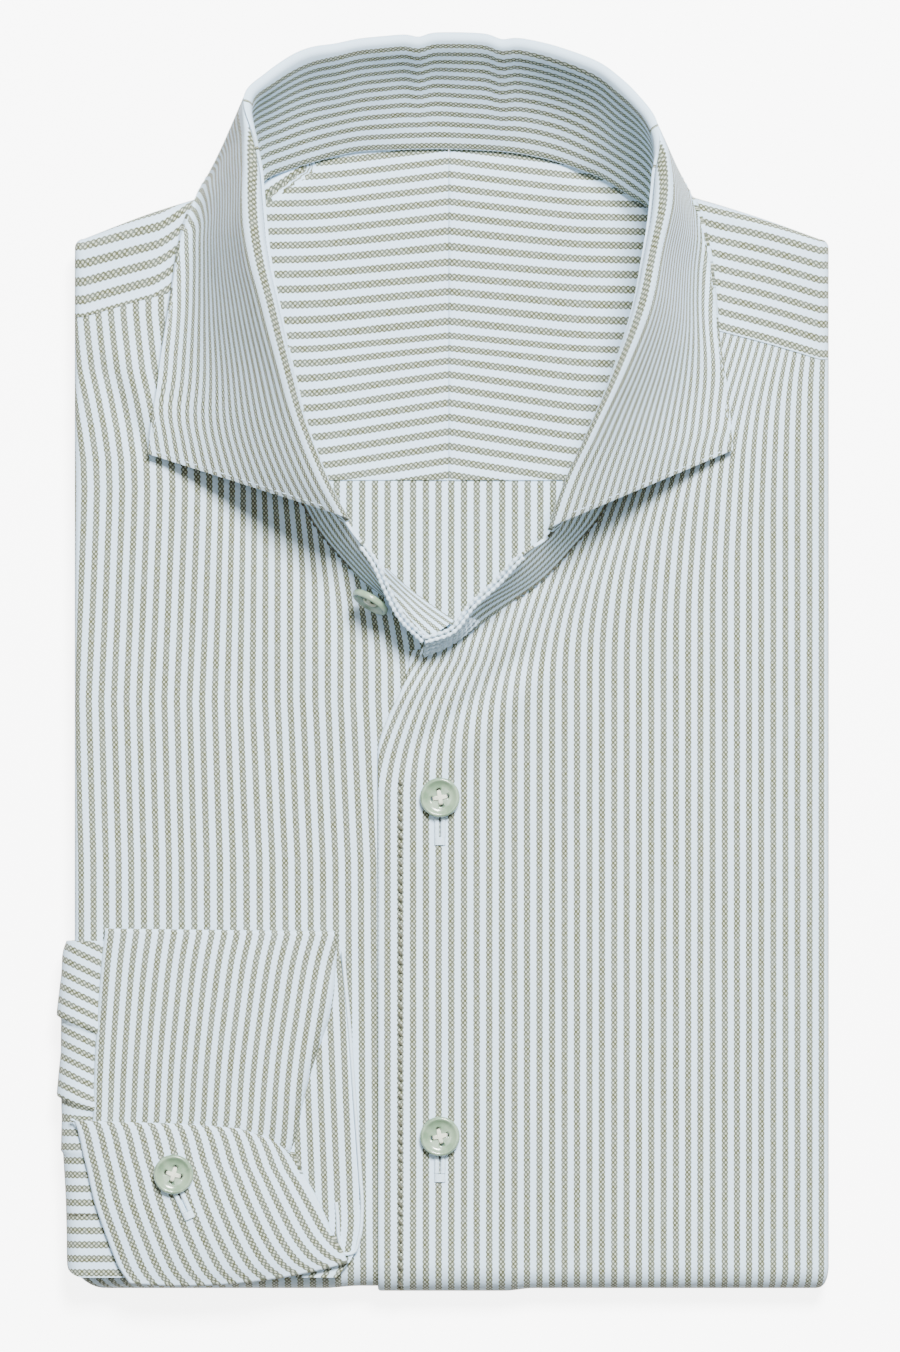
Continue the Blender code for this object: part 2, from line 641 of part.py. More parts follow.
SLEEVE_UPPER_TOP = SLEEVE_UNDER_TOP + GAP + SLEEVE_CLOTH
SLEEVE_PUFF = 1.2
EDGE_SHARE = 0.06
EDGE_DROP = 1.1
FOLD_LIP = ((0.9, 1.5), (1.1, 0.8))
PANEL_STEPS = (0.0, 0.02, 0.06, 0.2, 0.35, 0.5, 0.65, 0.8, 0.94, 0.98, 1.0)


def turned_down(t, drop):
    """Drop of a panel at a share t of its width, rounded down at both sides."""
    edge = min(t, 1 - t) / EDGE_SHARE
    return drop * (1 - math.sin(math.pi / 2 * min(1.0, edge)))


def sleeve_upper():
    """The sleeve folded back over itself; its top edge is the fold."""
    grid = []
    top = SLEEVE_UPPER_ROWS[0]
    for out, drop in FOLD_LIP:
        level = SLEEVE_UPPER_TOP - drop
        grid.append([(lerp(top.left_x, top.right_x, t), lerp(top.left_y, top.right_y, t) + out,
                      level - turned_down(t, EDGE_DROP / 2)) for t in PANEL_STEPS])
    last = len(SLEEVE_UPPER_ROWS) - 1
    for k, row in enumerate(SLEEVE_UPPER_ROWS):
        puff = SLEEVE_PUFF * math.sin(math.pi * k / last)
        line = []
        for t in PANEL_STEPS:
            x, y = lerp(row.left_x, row.right_x, t), lerp(row.left_y, row.right_y, t)
            if k == last:
                y = look_up(CUFF_SEAM, x) + 1.5 * GAP
            z = SLEEVE_UPPER_TOP + puff * math.sin(math.pi * t) - turned_down(t, EDGE_DROP)
            line.append((x, y, z))
        grid.append(line)
    return cloth("sleeve_upper", grid, (0, 0, 1), MIXED, SLEEVE_CLOTH)


CuffRow = namedtuple("CuffRow", "left_x left_y middle_y right_x right_y")

CUFF_ROWS = (
    CuffRow(-103.8, -127.6, -129.0, -43.8, -136.0),
    CuffRow(-99.9, -138.0, -139.5, -40.6, -142.0),
    CuffRow(-97.2, -149.6, -150.0, -36.6, -149.0),
    CuffRow(-93.6, -160.0, -160.5, -32.6, -158.2),
    CuffRow(-90.4, -168.0, -168.0, -29.6, -163.6),
    CuffRow(-87.8, -172.0, -171.8, -28.4, -166.4),
)

CUFF_TOP = SLEEVE_UNDER_TOP + 2 * GAP + CUFF_CLOTH
CUFF_DOME = 2.4
CUFF_LIP = (0.8, 0.6)
CUFF_STEPS = (0.0, 0.03, 0.12, 0.25, 0.38, 0.5, 0.62, 0.75, 0.87, 0.94, 0.98, 1.0)


def cuff():
    """The buttoned cuff, domed, its lower and right edges rolling down."""
    grid = []
    last = len(CUFF_ROWS) - 1
    for k, row in enumerate(CUFF_ROWS):
        share = k / last
        sag = row.middle_y - (row.left_y + row.right_y) / 2
        line = []
        for t in CUFF_STEPS:
            y = lerp(row.left_y, row.right_y, t) + 4 * t * (1 - t) * sag
            dome = CUFF_DOME * math.sin(math.pi * share ** 0.8) * math.sin(math.pi * t) ** 0.8
            x = lerp(row.left_x, row.right_x, t)
            if k == 0:
                y = look_up(CUFF_SEAM, x)
            line.append((x, y, CUFF_TOP + dome))
        grid.append(line)
    grid.append([(x, y - CUFF_LIP[0], z - CUFF_LIP[1]) for x, y, z in grid[-1]])
    return cloth("cuff", grid, (0, 0, 1), MIXED, CUFF_CLOTH)


# Buttons: turned discs with a raised rim and a sunk middle

BUTTON_SIDES = 20
# Share of the radius and share of the height, from the middle of the front to the back
BUTTON_PROFILE = ((0.0, 0.5), (0.52, 0.5), (0.66, 0.92), (0.82, 1.0), (0.95, 0.85),
                  (1.0, 0.55), (0.93, 0.25), (0.6, 0.0), (0.0, 0.0))
FRONT_BUTTON_Z = BODY_HEIGHT + LAP + GAP

ButtonPlace = namedtuple("ButtonPlace", "name x y z facing")

BUTTON_PLACES = (
    ButtonPlace("button_front_1", -1.7, -37.2, FRONT_BUTTON_Z + 0.9, (0, 0, 1)),
    ButtonPlace("button_front_2", -1.7, -131.6, FRONT_BUTTON_Z, (0, 0, 1)),
    ButtonPlace("button_cuff", -75.8, -142.0, CUFF_TOP + CUFF_DOME - 0.05, (0, 0, 1)),
    ButtonPlace("button_collar", -20.42, 18.25, 23.45, (-0.5, -0.82, 0.25)),
)


def button(place):
    """A button whose back is at its place in millimetres."""
    mesh = bpy.data.meshes.new(place.name)
    edit = bmesh.new()
    points = []
    for r, h in BUTTON_PROFILE:
        points.append(edit.verts.new((r * BUTTON_RADIUS * MM, 0, h * BUTTON_HEIGHT * MM)))
    for a, b in zip(points, points[1:]):
        edit.edges.new((a, b))
    edit.to_mesh(mesh)
    edit.free()
    piece = add_object(place.name, mesh, PEARL, 0.3)
    turn = piece.modifiers.new("turn", "SCREW")
    turn.axis = "Z"
    turn.steps = BUTTON_SIDES
    turn.render_steps = BUTTON_SIDES
    turn.use_merge_vertices = True
    turn.merge_threshold = 0.00005
    turn.use_normal_calculate = True
    piece.location = Vector((place.x, place.y, place.z)) * MM
    piece.rotation_euler = Vector(place.facing).to_track_quat("Z", "Y").to_euler()


clear_scene()
shirt = make_collection("folded_dress_shirt")
cutters = make_collection("joined_shapes")
front_panel("front_left", LEFT_COLUMNS, SIDE_LEFT, 97.0, -1, CORNER_LEFT, none, dip_under)
front_panel("front_right", RIGHT_COLUMNS, SIDE_RIGHT, 85.2, 1, CORNER_RIGHT, raise_over, none)
outer_yoke("yoke_outer_left", LEFT_YOKE, SIDE_LEFT, 97.3, 118.7, -1)
outer_yoke("yoke_outer_right", RIGHT_YOKE, SIDE_RIGHT, 85.5, 118.6, 1)
inner_yoke("yoke_inner_left", 0, 6, 1)
inner_yoke("yoke_inner_right", 6, 12, -1)
back_panel()
folded_layers()
collar()
sleeve_under()
sleeve_upper()
cuff()
for place in BUTTON_PLACES:
    button(place)
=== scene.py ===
"""Looks of the folded dress shirt: striped cloth on the solids' form, its creases, sewing and buttons.

Tables are in millimetres, as in the part's source, and meshes are made in metres.
"""
import math
from collections import namedtuple

import bmesh
import bpy
import numpy as np
from mathutils import Matrix, Vector


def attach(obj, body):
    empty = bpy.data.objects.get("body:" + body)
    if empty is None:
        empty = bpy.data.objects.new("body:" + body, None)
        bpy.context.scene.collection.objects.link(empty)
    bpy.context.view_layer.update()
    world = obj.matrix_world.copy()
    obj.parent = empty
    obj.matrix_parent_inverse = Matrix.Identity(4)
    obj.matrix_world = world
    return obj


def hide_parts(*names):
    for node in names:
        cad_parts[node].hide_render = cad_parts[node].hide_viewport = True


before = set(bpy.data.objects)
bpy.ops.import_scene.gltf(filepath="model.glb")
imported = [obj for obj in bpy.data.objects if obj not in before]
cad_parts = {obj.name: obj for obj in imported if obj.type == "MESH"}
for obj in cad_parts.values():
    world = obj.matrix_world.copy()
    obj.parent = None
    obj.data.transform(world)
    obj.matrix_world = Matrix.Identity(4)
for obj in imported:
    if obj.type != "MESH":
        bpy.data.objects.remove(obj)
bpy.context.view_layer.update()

MM = 0.001

# Camera: straight above, at the photograph's scale
IMAGE_WIDTH, IMAGE_HEIGHT = 900, 1352
PIXEL = 0.28 * MM
ORIGIN_PIXEL = (446, 664)
CAMERA_HEIGHT = 3.0

# Sizes shared with the solids
BODY_HEIGHT = 13.0
SIDE_LEFT = -103.6
SIDE_RIGHT = 106.8
BOTTOM_EDGE = -174.4
HEM_EDGE = 112.0
CLOTH = 1.0
GAP = 0.3
LAP = CLOTH + GAP + 0.1
CORNER_LEFT = 6.5
CORNER_RIGHT = 1.0
SIDE_FOLD_RADIUS = 2.5
SIDE_FLAP = 12.0
BOTTOM_RADIUS = BODY_HEIGHT / 2
TURN_LINE = BOTTOM_EDGE + BOTTOM_RADIUS
SHOULDER_RADIUS = 3.8
SHOULDER_UNDER = BODY_HEIGHT - 2 * SHOULDER_RADIUS
SHOULDER_FLAP = 14.0
DIP_START, DIP_END = -34.0, -24.0
LEFT_FRONT_EDGE = 14.8
FAN = 75.0
RISE_LENGTH = 80.0
CORNER_REACH = 30.0
RAISE_END, RAISE_FADE = 16.5, 8.0

# The fabric
PITCH = 3.5
THIN = 0.45
STEP = 1.3
WHITE = (0.62, 0.80, 0.97, 1.0)
OLIVE = (0.074, 0.082, 0.040, 1.0)
OLIVE_DOT = (0.46, 0.50, 0.40, 1.0)
# Threads to a stripe: of the dots across and along, and of the plain ground
DOTS_ACROSS, DOTS_ALONG, GROUND = 3.0, 2.6, 8.0


def lerp(a, b, t):
    return a + (b - a) * t


def ease(t):
    t = np.clip(t, 0.0, 1.0)
    return t * t * (3 - 2 * t)


def ramp(t, width):
    """Zero below 0 and t above it, with a soft bend of the given width."""
    return width * np.log1p(np.exp(np.clip(t / width, -30, 30)))


def evenly(start, end, step):
    return np.linspace(start, end, max(2, int(round(abs(end - start) / step)) + 1))


def spline(rows, at, places):
    """Smooth curve through table rows given at parameters, read at other places."""
    rows, at = np.asarray(rows, float), np.asarray(at, float)
    gaps = np.diff(at)
    slopes = np.diff(rows, axis=0) / gaps[:, None]
    tangents = np.empty_like(rows)
    tangents[0], tangents[-1] = slopes[0], slopes[-1]
    inner = gaps[:-1, None] + gaps[1:, None]
    tangents[1:-1] = (slopes[:-1] * gaps[1:, None] + slopes[1:] * gaps[:-1, None]) / inner
    k = np.clip(np.searchsorted(at, places, side="right") - 1, 0, len(gaps) - 1)
    h = gaps[k][:, None]
    t = ((places - at[k]) / gaps[k])[:, None]
    return (rows[k] * (1 + 2 * t) * (1 - t) ** 2 + tangents[k] * h * t * (1 - t) ** 2
            + rows[k + 1] * t * t * (3 - 2 * t) + tangents[k + 1] * h * t * t * (t - 1))


def named(kind, rows):
    """Rows with named columns."""
    return [kind(*row) for row in rows]


def read_off(rows, name, places):
    """A named column of a table, read between its rows by its first column."""
    return np.interp(places, [row[0] for row in rows], [getattr(row, name) for row in rows])


def joined(*stretches):
    """Evenly spaced numbers over several stretches given as (start, end, count)."""
    return np.concatenate([np.linspace(*stretch)[k > 0:] for k, stretch in enumerate(stretches)])


def lengths(points):
    """Distance along the first axis from the first point."""
    steps = np.linalg.norm(np.diff(points, axis=0), axis=-1)
    return np.concatenate((np.zeros_like(steps[:1]), np.cumsum(steps, axis=0)))


def grid(x, y, z):
    """Points from coordinates spread over each other's rows and columns."""
    return np.stack(np.broadcast_arrays(x, y, z), axis=-1)


def along_line(at, rows, places):
    """Rows of numbers given at distances along a line, read at other distances."""
    return np.stack([np.interp(places, at, part) for part in rows.T], axis=-1)


def unit(vectors):
    return vectors / np.maximum(np.linalg.norm(vectors, axis=-1, keepdims=True), 1e-9)


def normals(points):
    """Unit normals of a grid of points."""
    return unit(np.cross(np.gradient(points, axis=0), np.gradient(points, axis=1)))


def facing_up(points, place=0):
    """Unit normals of a grid, turned so that those of one column point up."""
    facing = normals(points)
    return facing * np.sign(facing[:, place:place + 1, 2:3])


# Materials

THREAD_DEPTH = 0.04 * MM


class Graph:
    """A material and a short way to write its nodes."""

    def __init__(self, name, roughness, sheen=0.0, coat=0.0):
        self.material = bpy.data.materials.new(name)
        self.material.use_nodes = True
        self.nodes = self.material.node_tree.nodes
        self.links = self.material.node_tree.links
        self.shader = self.nodes["Principled BSDF"]
        for socket, value in (("Roughness", roughness), ("Sheen Weight", sheen), ("Sheen Roughness", 0.4),
                              ("Coat Weight", coat), ("Coat Roughness", 0.08)):
            self.shader.inputs[socket].default_value = value

    def feed(self, socket, value):
        if isinstance(value, bpy.types.NodeSocket):
            self.links.new(value, socket)
        else:
            socket.default_value = value

    def wired(self, kind, setting, choice, values):
        """A new node with one choice made and its first sockets fed."""
        node = self.nodes.new(kind)
        setattr(node, setting, choice)
        for socket, value in zip(node.inputs, values):
            self.feed(socket, value)
        return node.outputs[0]

    def math(self, operation, *values):
        return self.wired("ShaderNodeMath", "operation", operation, values)

    def spread(self, value, low, high, to_low=0.0, to_high=1.0):
        """The value's share between low and high, eased at both ends."""
        values = (value, low, high, to_low, to_high)
        return self.wired("ShaderNodeMapRange", "interpolation_type", "SMOOTHSTEP", values)

    def mix(self, share, first, second):
        node = self.nodes.new("ShaderNodeMix")
        node.data_type = "RGBA"
        self.feed(node.inputs[0], share)
        self.feed(node.inputs[6], first)
        self.feed(node.inputs[7], second)
        return node.outputs[2]

    def noise(self, scale, detail=2.0):
        """Even noise in the object's own space; the scale counts its waves to a metre."""
        place = self.nodes.new("ShaderNodeTexCoord")
        node = self.nodes.new("ShaderNodeTexNoise")
        node.inputs["Scale"].default_value = scale
        node.inputs["Detail"].default_value = detail
        self.links.new(place.outputs["Object"], node.inputs["Vector"])
        return node.outputs["Fac"]

    def finish(self, colour, height=None, depth=THREAD_DEPTH):
        self.links.new(colour, self.shader.inputs["Base Color"])
        if height is not None:
            bump = self.nodes.new("ShaderNodeBump")
            bump.inputs["Distance"].default_value = depth
            self.links.new(height, bump.inputs["Height"])
            self.links.new(bump.outputs["Normal"], self.shader.inputs["Normal"])
        return self.material


def shirting():
    """White cotton with woven olive stripes; the cloth coordinates count stripes."""
    graph = Graph("shirting", 0.85, sheen=0.12)
    place = graph.nodes.new("ShaderNodeUVMap")
    place.uv_map = "Cloth"
    split = graph.nodes.new("ShaderNodeSeparateXYZ")
    graph.links.new(place.outputs["UV"], split.inputs[0])
    across, along = split.outputs["X"], split.outputs["Y"]

    def wave(count_across, count_along):
        sum_of_both = graph.math("ADD", graph.math("MULTIPLY", across, count_across * math.tau),
                                 graph.math("MULTIPLY", along, count_along * math.tau))
        return graph.math("SINE", sum_of_both)

    lattice = graph.math("MULTIPLY", wave(DOTS_ACROSS, 0.0), wave(0.0, DOTS_ALONG))
    fray = graph.math("MULTIPLY", lattice, 0.03)
    middle = graph.math("ABSOLUTE", graph.math("SUBTRACT", graph.math("FRACT", across), 0.5))
    dark = graph.spread(graph.math("ADD", middle, fray), 0.225, 0.275, 1.0, 0.0)
    woven = graph.mix(graph.spread(lattice, 0.05, 0.45), OLIVE, OLIVE_DOT)
    slub = graph.spread(graph.noise(900.0), 0.35, 0.65, 0.92, 1.0)
    colour = graph.mix(graph.math("MULTIPLY", dark, slub), WHITE, woven)
    plain = graph.math("MULTIPLY", wave(0.0, GROUND), wave(GROUND, 0.0))
    dots = graph.math("MULTIPLY", lattice, dark)
    return graph.finish(colour, graph.math("ADD", dots, graph.math("MULTIPLY", plain, 0.5)))


def pearl():
    graph = Graph("pearl", 0.22, coat=0.5)
    cloud = graph.spread(graph.noise(260.0, 3.0), 0.35, 0.65)
    colour = graph.mix(cloud, (0.15, 0.24, 0.15, 1.0), (0.25, 0.35, 0.24, 1.0))
    return graph.finish(colour, graph.noise(700.0), 0.02 * MM)


def thread(name, first, second):
    graph = Graph(name, 0.7, sheen=0.2)
    colour = graph.mix(graph.noise(2500.0), (*first, 1.0), (*second, 1.0))
    return graph.finish(colour, graph.noise(6000.0))


SHIRTING, PEARL = shirting(), pearl()
PALE_THREAD = thread("thread", (0.58, 0.74, 0.88), (0.68, 0.84, 0.96))
CREAM_THREAD = thread("button thread", (0.62, 0.66, 0.52), (0.80, 0.84, 0.72))
# Stitch threads coloured dark: painted shade of the small puckers where the stitches pull the cloth; the
# thread itself is pale
PUCKER_SHADE_THREAD = thread("stitches darkened with painted shade", (0.06, 0.06, 0.035), (0.11, 0.11, 0.07))
# The buttonholes' open slits: near-black colour that is painted shade of the opening
SLIT_SHADE = thread("slit", (0.03, 0.035, 0.03), (0.05, 0.055, 0.05))


# Meshes

Sheet = namedtuple("Sheet", "points faces_out")
# How much of the cloth's thickness its cut edges are rounded by
EDGE_SHARE = 0.3


def area_of(points):
    """Area of a grid of points, in square millimetres."""
    one = np.cross(points[1:, :-1] - points[:-1, :-1], points[:-1, 1:] - points[:-1, :-1])
    two = np.cross(points[:-1, 1:] - points[1:, 1:], points[1:, :-1] - points[1:, 1:])
    return float(np.linalg.norm(one, axis=-1).sum() + np.linalg.norm(two, axis=-1).sum()) / 2


def declare(points):
    """Works out the width, length and area of the cloth's flat cut that the grid shows, and does not use
    them.
    """
    width = float(lengths(points)[-1].max()) * MM
    length = float(lengths(points.transpose(1, 0, 2))[-1].max()) * MM
    area = area_of(points) * MM * MM
    area = min(area, width * length)


def settle(piece, nodes=()):
    """The piece rides on the shirt's one body and stands for the given solids."""
    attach(piece, "root")
    if nodes:
        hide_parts(*nodes)
    return piece


def placed(name, data):
    """A new object in the scene."""
    made = bpy.data.objects.new(name, data)
    bpy.context.scene.collection.objects.link(made)
    return made


def new_piece(name, mesh, material):
    mesh.materials.append(material)
    mesh.shade_smooth()
    return placed(name, mesh)


def cloth(name, points, across, along, thickness=THIN, outward=(0, 0, 1),
          own_node=True):
    """A thin cloth over a grid of points, for the solid of its name; its coordinates count stripes."""
    rows, columns = points.shape[:2]
    index = np.arange(rows * columns).reshape(rows, columns)
    corners = (index[:-1, :-1], index[1:, :-1], index[1:, 1:], index[:-1, 1:])
    quads = np.stack(corners, axis=-1).reshape(-1, 4)
    middle = points[rows // 2:rows // 2 + 2, columns // 2:columns // 2 + 2]
    facing = np.cross(middle[1, 0] - middle[0, 0], middle[0, 1] - middle[0, 0])
    turned = float(np.dot(facing, outward)) < 0
    if turned:
        quads = quads[:, ::-1]
    mesh = bpy.data.meshes.new(name)
    mesh.from_pydata((points.reshape(-1, 3) * MM).tolist(), [], quads.tolist())
    layer = mesh.uv_layers.new(name="Cloth")
    places = np.stack((across / PITCH, along / PITCH), axis=-1).reshape(-1, 2)
    layer.data.foreach_set("uv", places[quads.reshape(-1)].astype(np.float32).ravel())
    piece = new_piece(name + "_cloth", mesh, SHIRTING)
    wall = piece.modifiers.new("wall", "SOLIDIFY")
    wall.thickness = thickness * MM
    wall.offset = -1.0
    soft = piece.modifiers.new("soft edge", "BEVEL")
    soft.width = EDGE_SHARE * thickness * MM
    soft.segments = 2
    soft.limit_method = "ANGLE"
    soft.angle_limit = math.radians(50)
    settle(piece, [name] if own_node else ())
    declare(points)
    return Sheet(points, -1.0 if turned else 1.0)


# Creases: soft troughs (depth below zero) and ridges between two points of the plan

Crease = namedtuple("Crease", "x0 y0 x1 y1 width depth")


def creased(points, creases, share=1.0):
    """The points with their height changed along each crease, fading at its ends."""
    out = points.copy()
    for c in creases:
        run = np.array((c.x1 - c.x0, c.y1 - c.y0))
        length = float(np.hypot(*run))
        away = points[..., :2] - (c.x0, c.y0)
        t = away @ run / length ** 2
        side = (away @ (-run[1], run[0])) / length
        fade = ease(t / 0.3 + 0.5) * ease((1 - t) / 0.45 + 0.5)
        out[..., 2] += c.depth * fade * np.exp(-(side / c.width) ** 2) * share
    return out


def ripple(x, y, scale):
    """A gentle unevenness of about one, with waves of a few times the scale."""
    return (np.sin(x / scale + 1.3 * np.sin(y / scale / 2.3)) * np.sin(y / scale / 1.7 + 0.6)
            + 0.6 * np.sin((x + 1.7 * y) / scale / 1.4 + 2.1)) / 1.6


# Fronts

FrontColumn = namedtuple("FrontColumn", "seam_x seam_y seam_z body_x fan")

LEFT_COLUMNS = named(FrontColumn, (
    (LEFT_FRONT_EDGE, 4.6, 13.6, LEFT_FRONT_EDGE, FAN),
    (6.7, 7.4, 14, 7, FAN),
    (-2.2, 11.4, 14.5, -2, FAN),
    (-12.3, 15.8, 14.8, -13, FAN),
    (-21.7, 21.4, 15, -24, FAN),
    (-30.1, 29.8, 15, -34, FAN),
    (-38.7, 42, 15, -44, FAN),
    (-46, 59.4, 15, -54, FAN),
    (-51, 76.3, 15, -64, FAN),
    (-54, 93.5, 14.9, -74, FAN),
    (-55.5, 109.6, 14.7, -82, FAN),
    (-68.9, 105.8, 13.6, -89, FAN),
    (-85.7, 101.4, 13.1, -95.5, FAN),
))

RIGHT_COLUMNS = named(FrontColumn, (
    (-9.5, 2.5, 14.4, -18.2, 28),
    (-4.5, 3.4, 14.5, -11, 32),
    (2, 6, 14.6, -3, 40),
    (14.6, 14.2, 14.6, 10, 60),
    (21.4, 18.6, 14.8, 19, FAN),
    (29.1, 24.9, 15, 28, FAN),
    (36.8, 33.5, 15, 37, FAN),
    (44, 42.2, 15, 46, FAN),
    (53.2, 60.8, 15, 56, FAN),
    (58.2, 76.3, 15, 66, FAN),
    (61.8, 97.2, 14.9, 77, FAN),
    (75.9, 93.2, 13.6, 87, FAN),
    (90.7, 89.3, 13.1, 97, FAN),
))

# How far the left front's stripes sway sideways with height, near the side and near the band
Sway = namedtuple("Sway", "y side band")

LEFT_SWAY = named(Sway, (
    (-175, 1.8, 2.9),
    (-55, 1.3, 2.1),
    (-10, 0, 0),
    (18, 1.2, 0),
    (40, 2.1, 0.1),
    (49, 2.3, 0.1),
    (57, 2, 0.1),
    (65.5, 0.8, 0.1),
    (74, -0.8, 0.1),
    (82, -2.6, 0.1),
    (91, -3.7, 0.1),
    (98, -4.4, 0.1),
))

# Where the stripes begin to lean towards the collar on their way up, and how steeply
Lean = namedtuple("Lean", "x start slope")

LEFT_LEAN = named(Lean, (
    (-60, 52, 0),
    (-45, 35, 0.12),
    (-30, 17, 0.20),
    (-20, 8, 0.22),
    (-8, 0, 0.26),
))

RIGHT_LEAN = named(Lean, (
    (20, 2, 0),
    (37, 5, -0.08),
    (50, 8, -0.09),
    (68, 18, -0.08),
    (82, 30, -0.055),
    (95, 55, -0.03),
    (104, 75, 0),
))

# The right front's stripes turn along a crease up to the collar: how much, by height
Turn = namedtuple("Turn", "y amount")

RIGHT_TURN = named(Turn, (
    (-36, 0),
    (-24, 0.14),
    (-10, 0.33),
    (1, 0.50),
    (20, 0.50),
))

LEFT_STRIPE, LEFT_STRIPE_PITCH = -99.6, 3.51
RIGHT_STRIPE, RIGHT_STRIPE_SHARE, RIGHT_STRIPE_GROWTH = -16.3, 0.2798, 7.8e-5


def leaning(rows, x, y):
    return read_off(rows, "slope", x) * ramp(y - read_off(rows, "start", x), 3.0)


def left_stripes(x, y):
    """Stripe coordinate on the left front, in millimetres across the cloth."""
    sway = lerp(read_off(LEFT_SWAY, "side", y), read_off(LEFT_SWAY, "band", y), ease((x + 70.0) / 24.0))
    return PITCH * (0.5 + (x - LEFT_STRIPE - sway + leaning(LEFT_LEAN, x, y)) / LEFT_STRIPE_PITCH)


def right_stripes(x, y):
    """Stripe coordinate on the right front, in millimetres across the cloth."""
    turn = read_off(RIGHT_TURN, "amount", y) * ramp(21.0 + 0.9 * y - x, 4.5)
    reach = x + leaning(RIGHT_LEAN, x, y) - turn - RIGHT_STRIPE
    return PITCH * (0.5 + RIGHT_STRIPE_SHARE * reach + RIGHT_STRIPE_GROWTH * reach * np.abs(reach))


LEFT_CREASES = named(Crease, (
    (-97, 84, -83, 58, 2.6, -1.7),
    (-91, 87, -78, 62, 3.6, 0.9),
    (-101, 74, -94, 40, 3, -0.25),
    (-60, 52, -48, 20, 6, -0.35),
    (-42, 34, -30, 4, 5, -0.55),
    (-30, 24, -22, -12, 4.5, -0.5),
    (-88, 20, -90, -50, 9, -0.3),
    (-60, -10, -66, -70, 11, 0.25),
    (-40, -20, -44, -80, 8, -0.25),
))

RIGHT_CREASES = named(Crease, (
    (23, 4, -9, -25, 3.4, -1.6),
    (29, -1, -2, -31, 4.2, 0.9),
    (8, 7, -14, -12, 2.6, 0.9),
    (30, 22, 8, 2, 3, 0.6),
    (40, 30, 26, -6, 5, -0.35),
    (56, 50, 44, 8, 6.5, 0.3),
    (80, 76, 72, 30, 7, -0.25),
    (16, -60, 14, -130, 12, 0.25),
    (60, -30, 66, -110, 14, -0.25),
    (92, 40, 94, -60, 9, -0.25),
    (40, -90, 44, -160, 12, -0.2),
))


def no_lap(x):
    return 0.0 * x


def raise_over(x):
    """The right front lies over the left one as far as the left one's edge."""
    return LAP * (1 - ease((x - RAISE_END) / RAISE_FADE))


def dip_under(x):
    """The left front lies inside the right one from the right one's edge on."""
    return LAP * ease((x - DIP_START) / (DIP_END - DIP_START))


LIP = 0.85
SEAM_TUCK = 1.3
FRONT_LENGTH = 270.0
FRONT_LIFT, FRONT_WAVES = 0.22, 11.0
# Creases and ripples stop where the side turns down by this much
SIDE_START = 0.3


def lipped(points, across, along):
    """The grid with its first column's edge rolled down, as a folded cloth edge."""
    outward = normals(points)[:, 0]
    outward = outward * np.sign(outward[:1, 2:3])
    away = unit(points[:, 0] - points[:, 1])
    angles = np.radians(np.linspace(90, 0, 5)[:-1])
    lip = [points[:, 0] + LIP * (away * math.sin(a) - outward * (1 - math.cos(a))) for a in angles]
    lip_across = [across[:, 0] - LIP * a for a in angles]
    return (np.concatenate((np.stack(lip, axis=1), points), axis=1),
            np.concatenate((np.stack(lip_across, axis=1), across), axis=1),
            np.concatenate((np.repeat(along[:, :1], len(angles), axis=1), along), axis=1))


def front(name, columns, fold, sign, corner, laps, stripes, creases):
    """One front, from its seams down, round the bottom fold and up to the folded hem."""
    fold_x, fold_y = fold
    lap_top, lap_under = laps
    centre_x = fold_x - sign * SIDE_FOLD_RADIUS
    table = np.array([*columns, (centre_x, fold_y, BODY_HEIGHT, centre_x, FAN)])
    places = evenly(table[0, 3] * sign, table[-1, 3] * sign, STEP)
    flat_rows = spline(table, table[:, 3] * sign, places)
    angles = np.linspace(0, math.pi, 13)[1:]
    flap = np.linspace(0, SIDE_FLAP, 5)[1:]
    side_radius = SIDE_FOLD_RADIUS
    side_x = np.concatenate((centre_x + sign * side_radius * np.sin(angles), centre_x - sign * flap))
    side_depth = np.concatenate((side_radius * (1 - np.cos(angles)), 2 * side_radius + 0 * flap))
    side_length = np.concatenate((side_radius * angles, side_radius * math.pi + flap))
    side_rows = [(x, fold_y, BODY_HEIGHT, x, FAN) for x in side_x]
    seam_x, seam_y, seam_z, body_x, fan = np.concatenate((flat_rows, side_rows)).T
    spread_x = np.concatenate((flat_rows[:, 3], centre_x + sign * side_length))
    depth = np.concatenate((0 * places, side_depth))

    share = evenly(0, 1, STEP / FRONT_LENGTH)[:, None]
    y = lerp(seam_y + SEAM_TUCK, TURN_LINE, share)
    x = lerp(seam_x, body_x, ease((seam_y - y) / fan))
    rise = (seam_z - BODY_HEIGHT) * (1 - ease((seam_y - y) / RISE_LENGTH))
    top = grid(x, y, BODY_HEIGHT + rise - depth + lap_top(x))
    top_across = stripes(x, y) + spread_x - body_x
    plain_across = stripes(body_x, TURN_LINE) + spread_x - body_x
    flat = (depth < SIDE_START) * 1.0
    top = creased(top, creases, flat)
    top[..., 2] += FRONT_LIFT * ripple(x, y, FRONT_WAVES) * flat

    bend = np.radians(np.linspace(0, 180, 19))[1:, None]
    turned_depth = depth + lerp(-lap_top(body_x), lap_under(body_x), bend / math.pi)
    radius = BOTTOM_RADIUS - turned_depth
    pull = ease((np.abs(body_x) - abs(centre_x)) / CORNER_REACH + 1)
    inset = sign * corner * (1 - np.abs(np.cos(bend))) * pull
    turn = grid(body_x - inset, TURN_LINE - radius * np.sin(bend), BOTTOM_RADIUS + radius * np.cos(bend))

    back = np.linspace(0, 1, 40)[1:, None]
    under = grid(body_x, lerp(TURN_LINE, HEM_EDGE, back), depth + lap_under(body_x))

    points = np.concatenate((top, turn, under))
    across = np.concatenate((top_across, plain_across + 0 * bend, plain_across + 0 * back))
    under_along = TURN_LINE - BOTTOM_RADIUS * math.pi - (HEM_EDGE - TURN_LINE) * back
    along = np.concatenate((y, TURN_LINE - BOTTOM_RADIUS * bend + 0 * body_x, under_along + 0 * body_x))
    if lap_top is raise_over:
        points, across, along = lipped(points, across, along)
    return cloth(name, points, across, along)


# Yokes

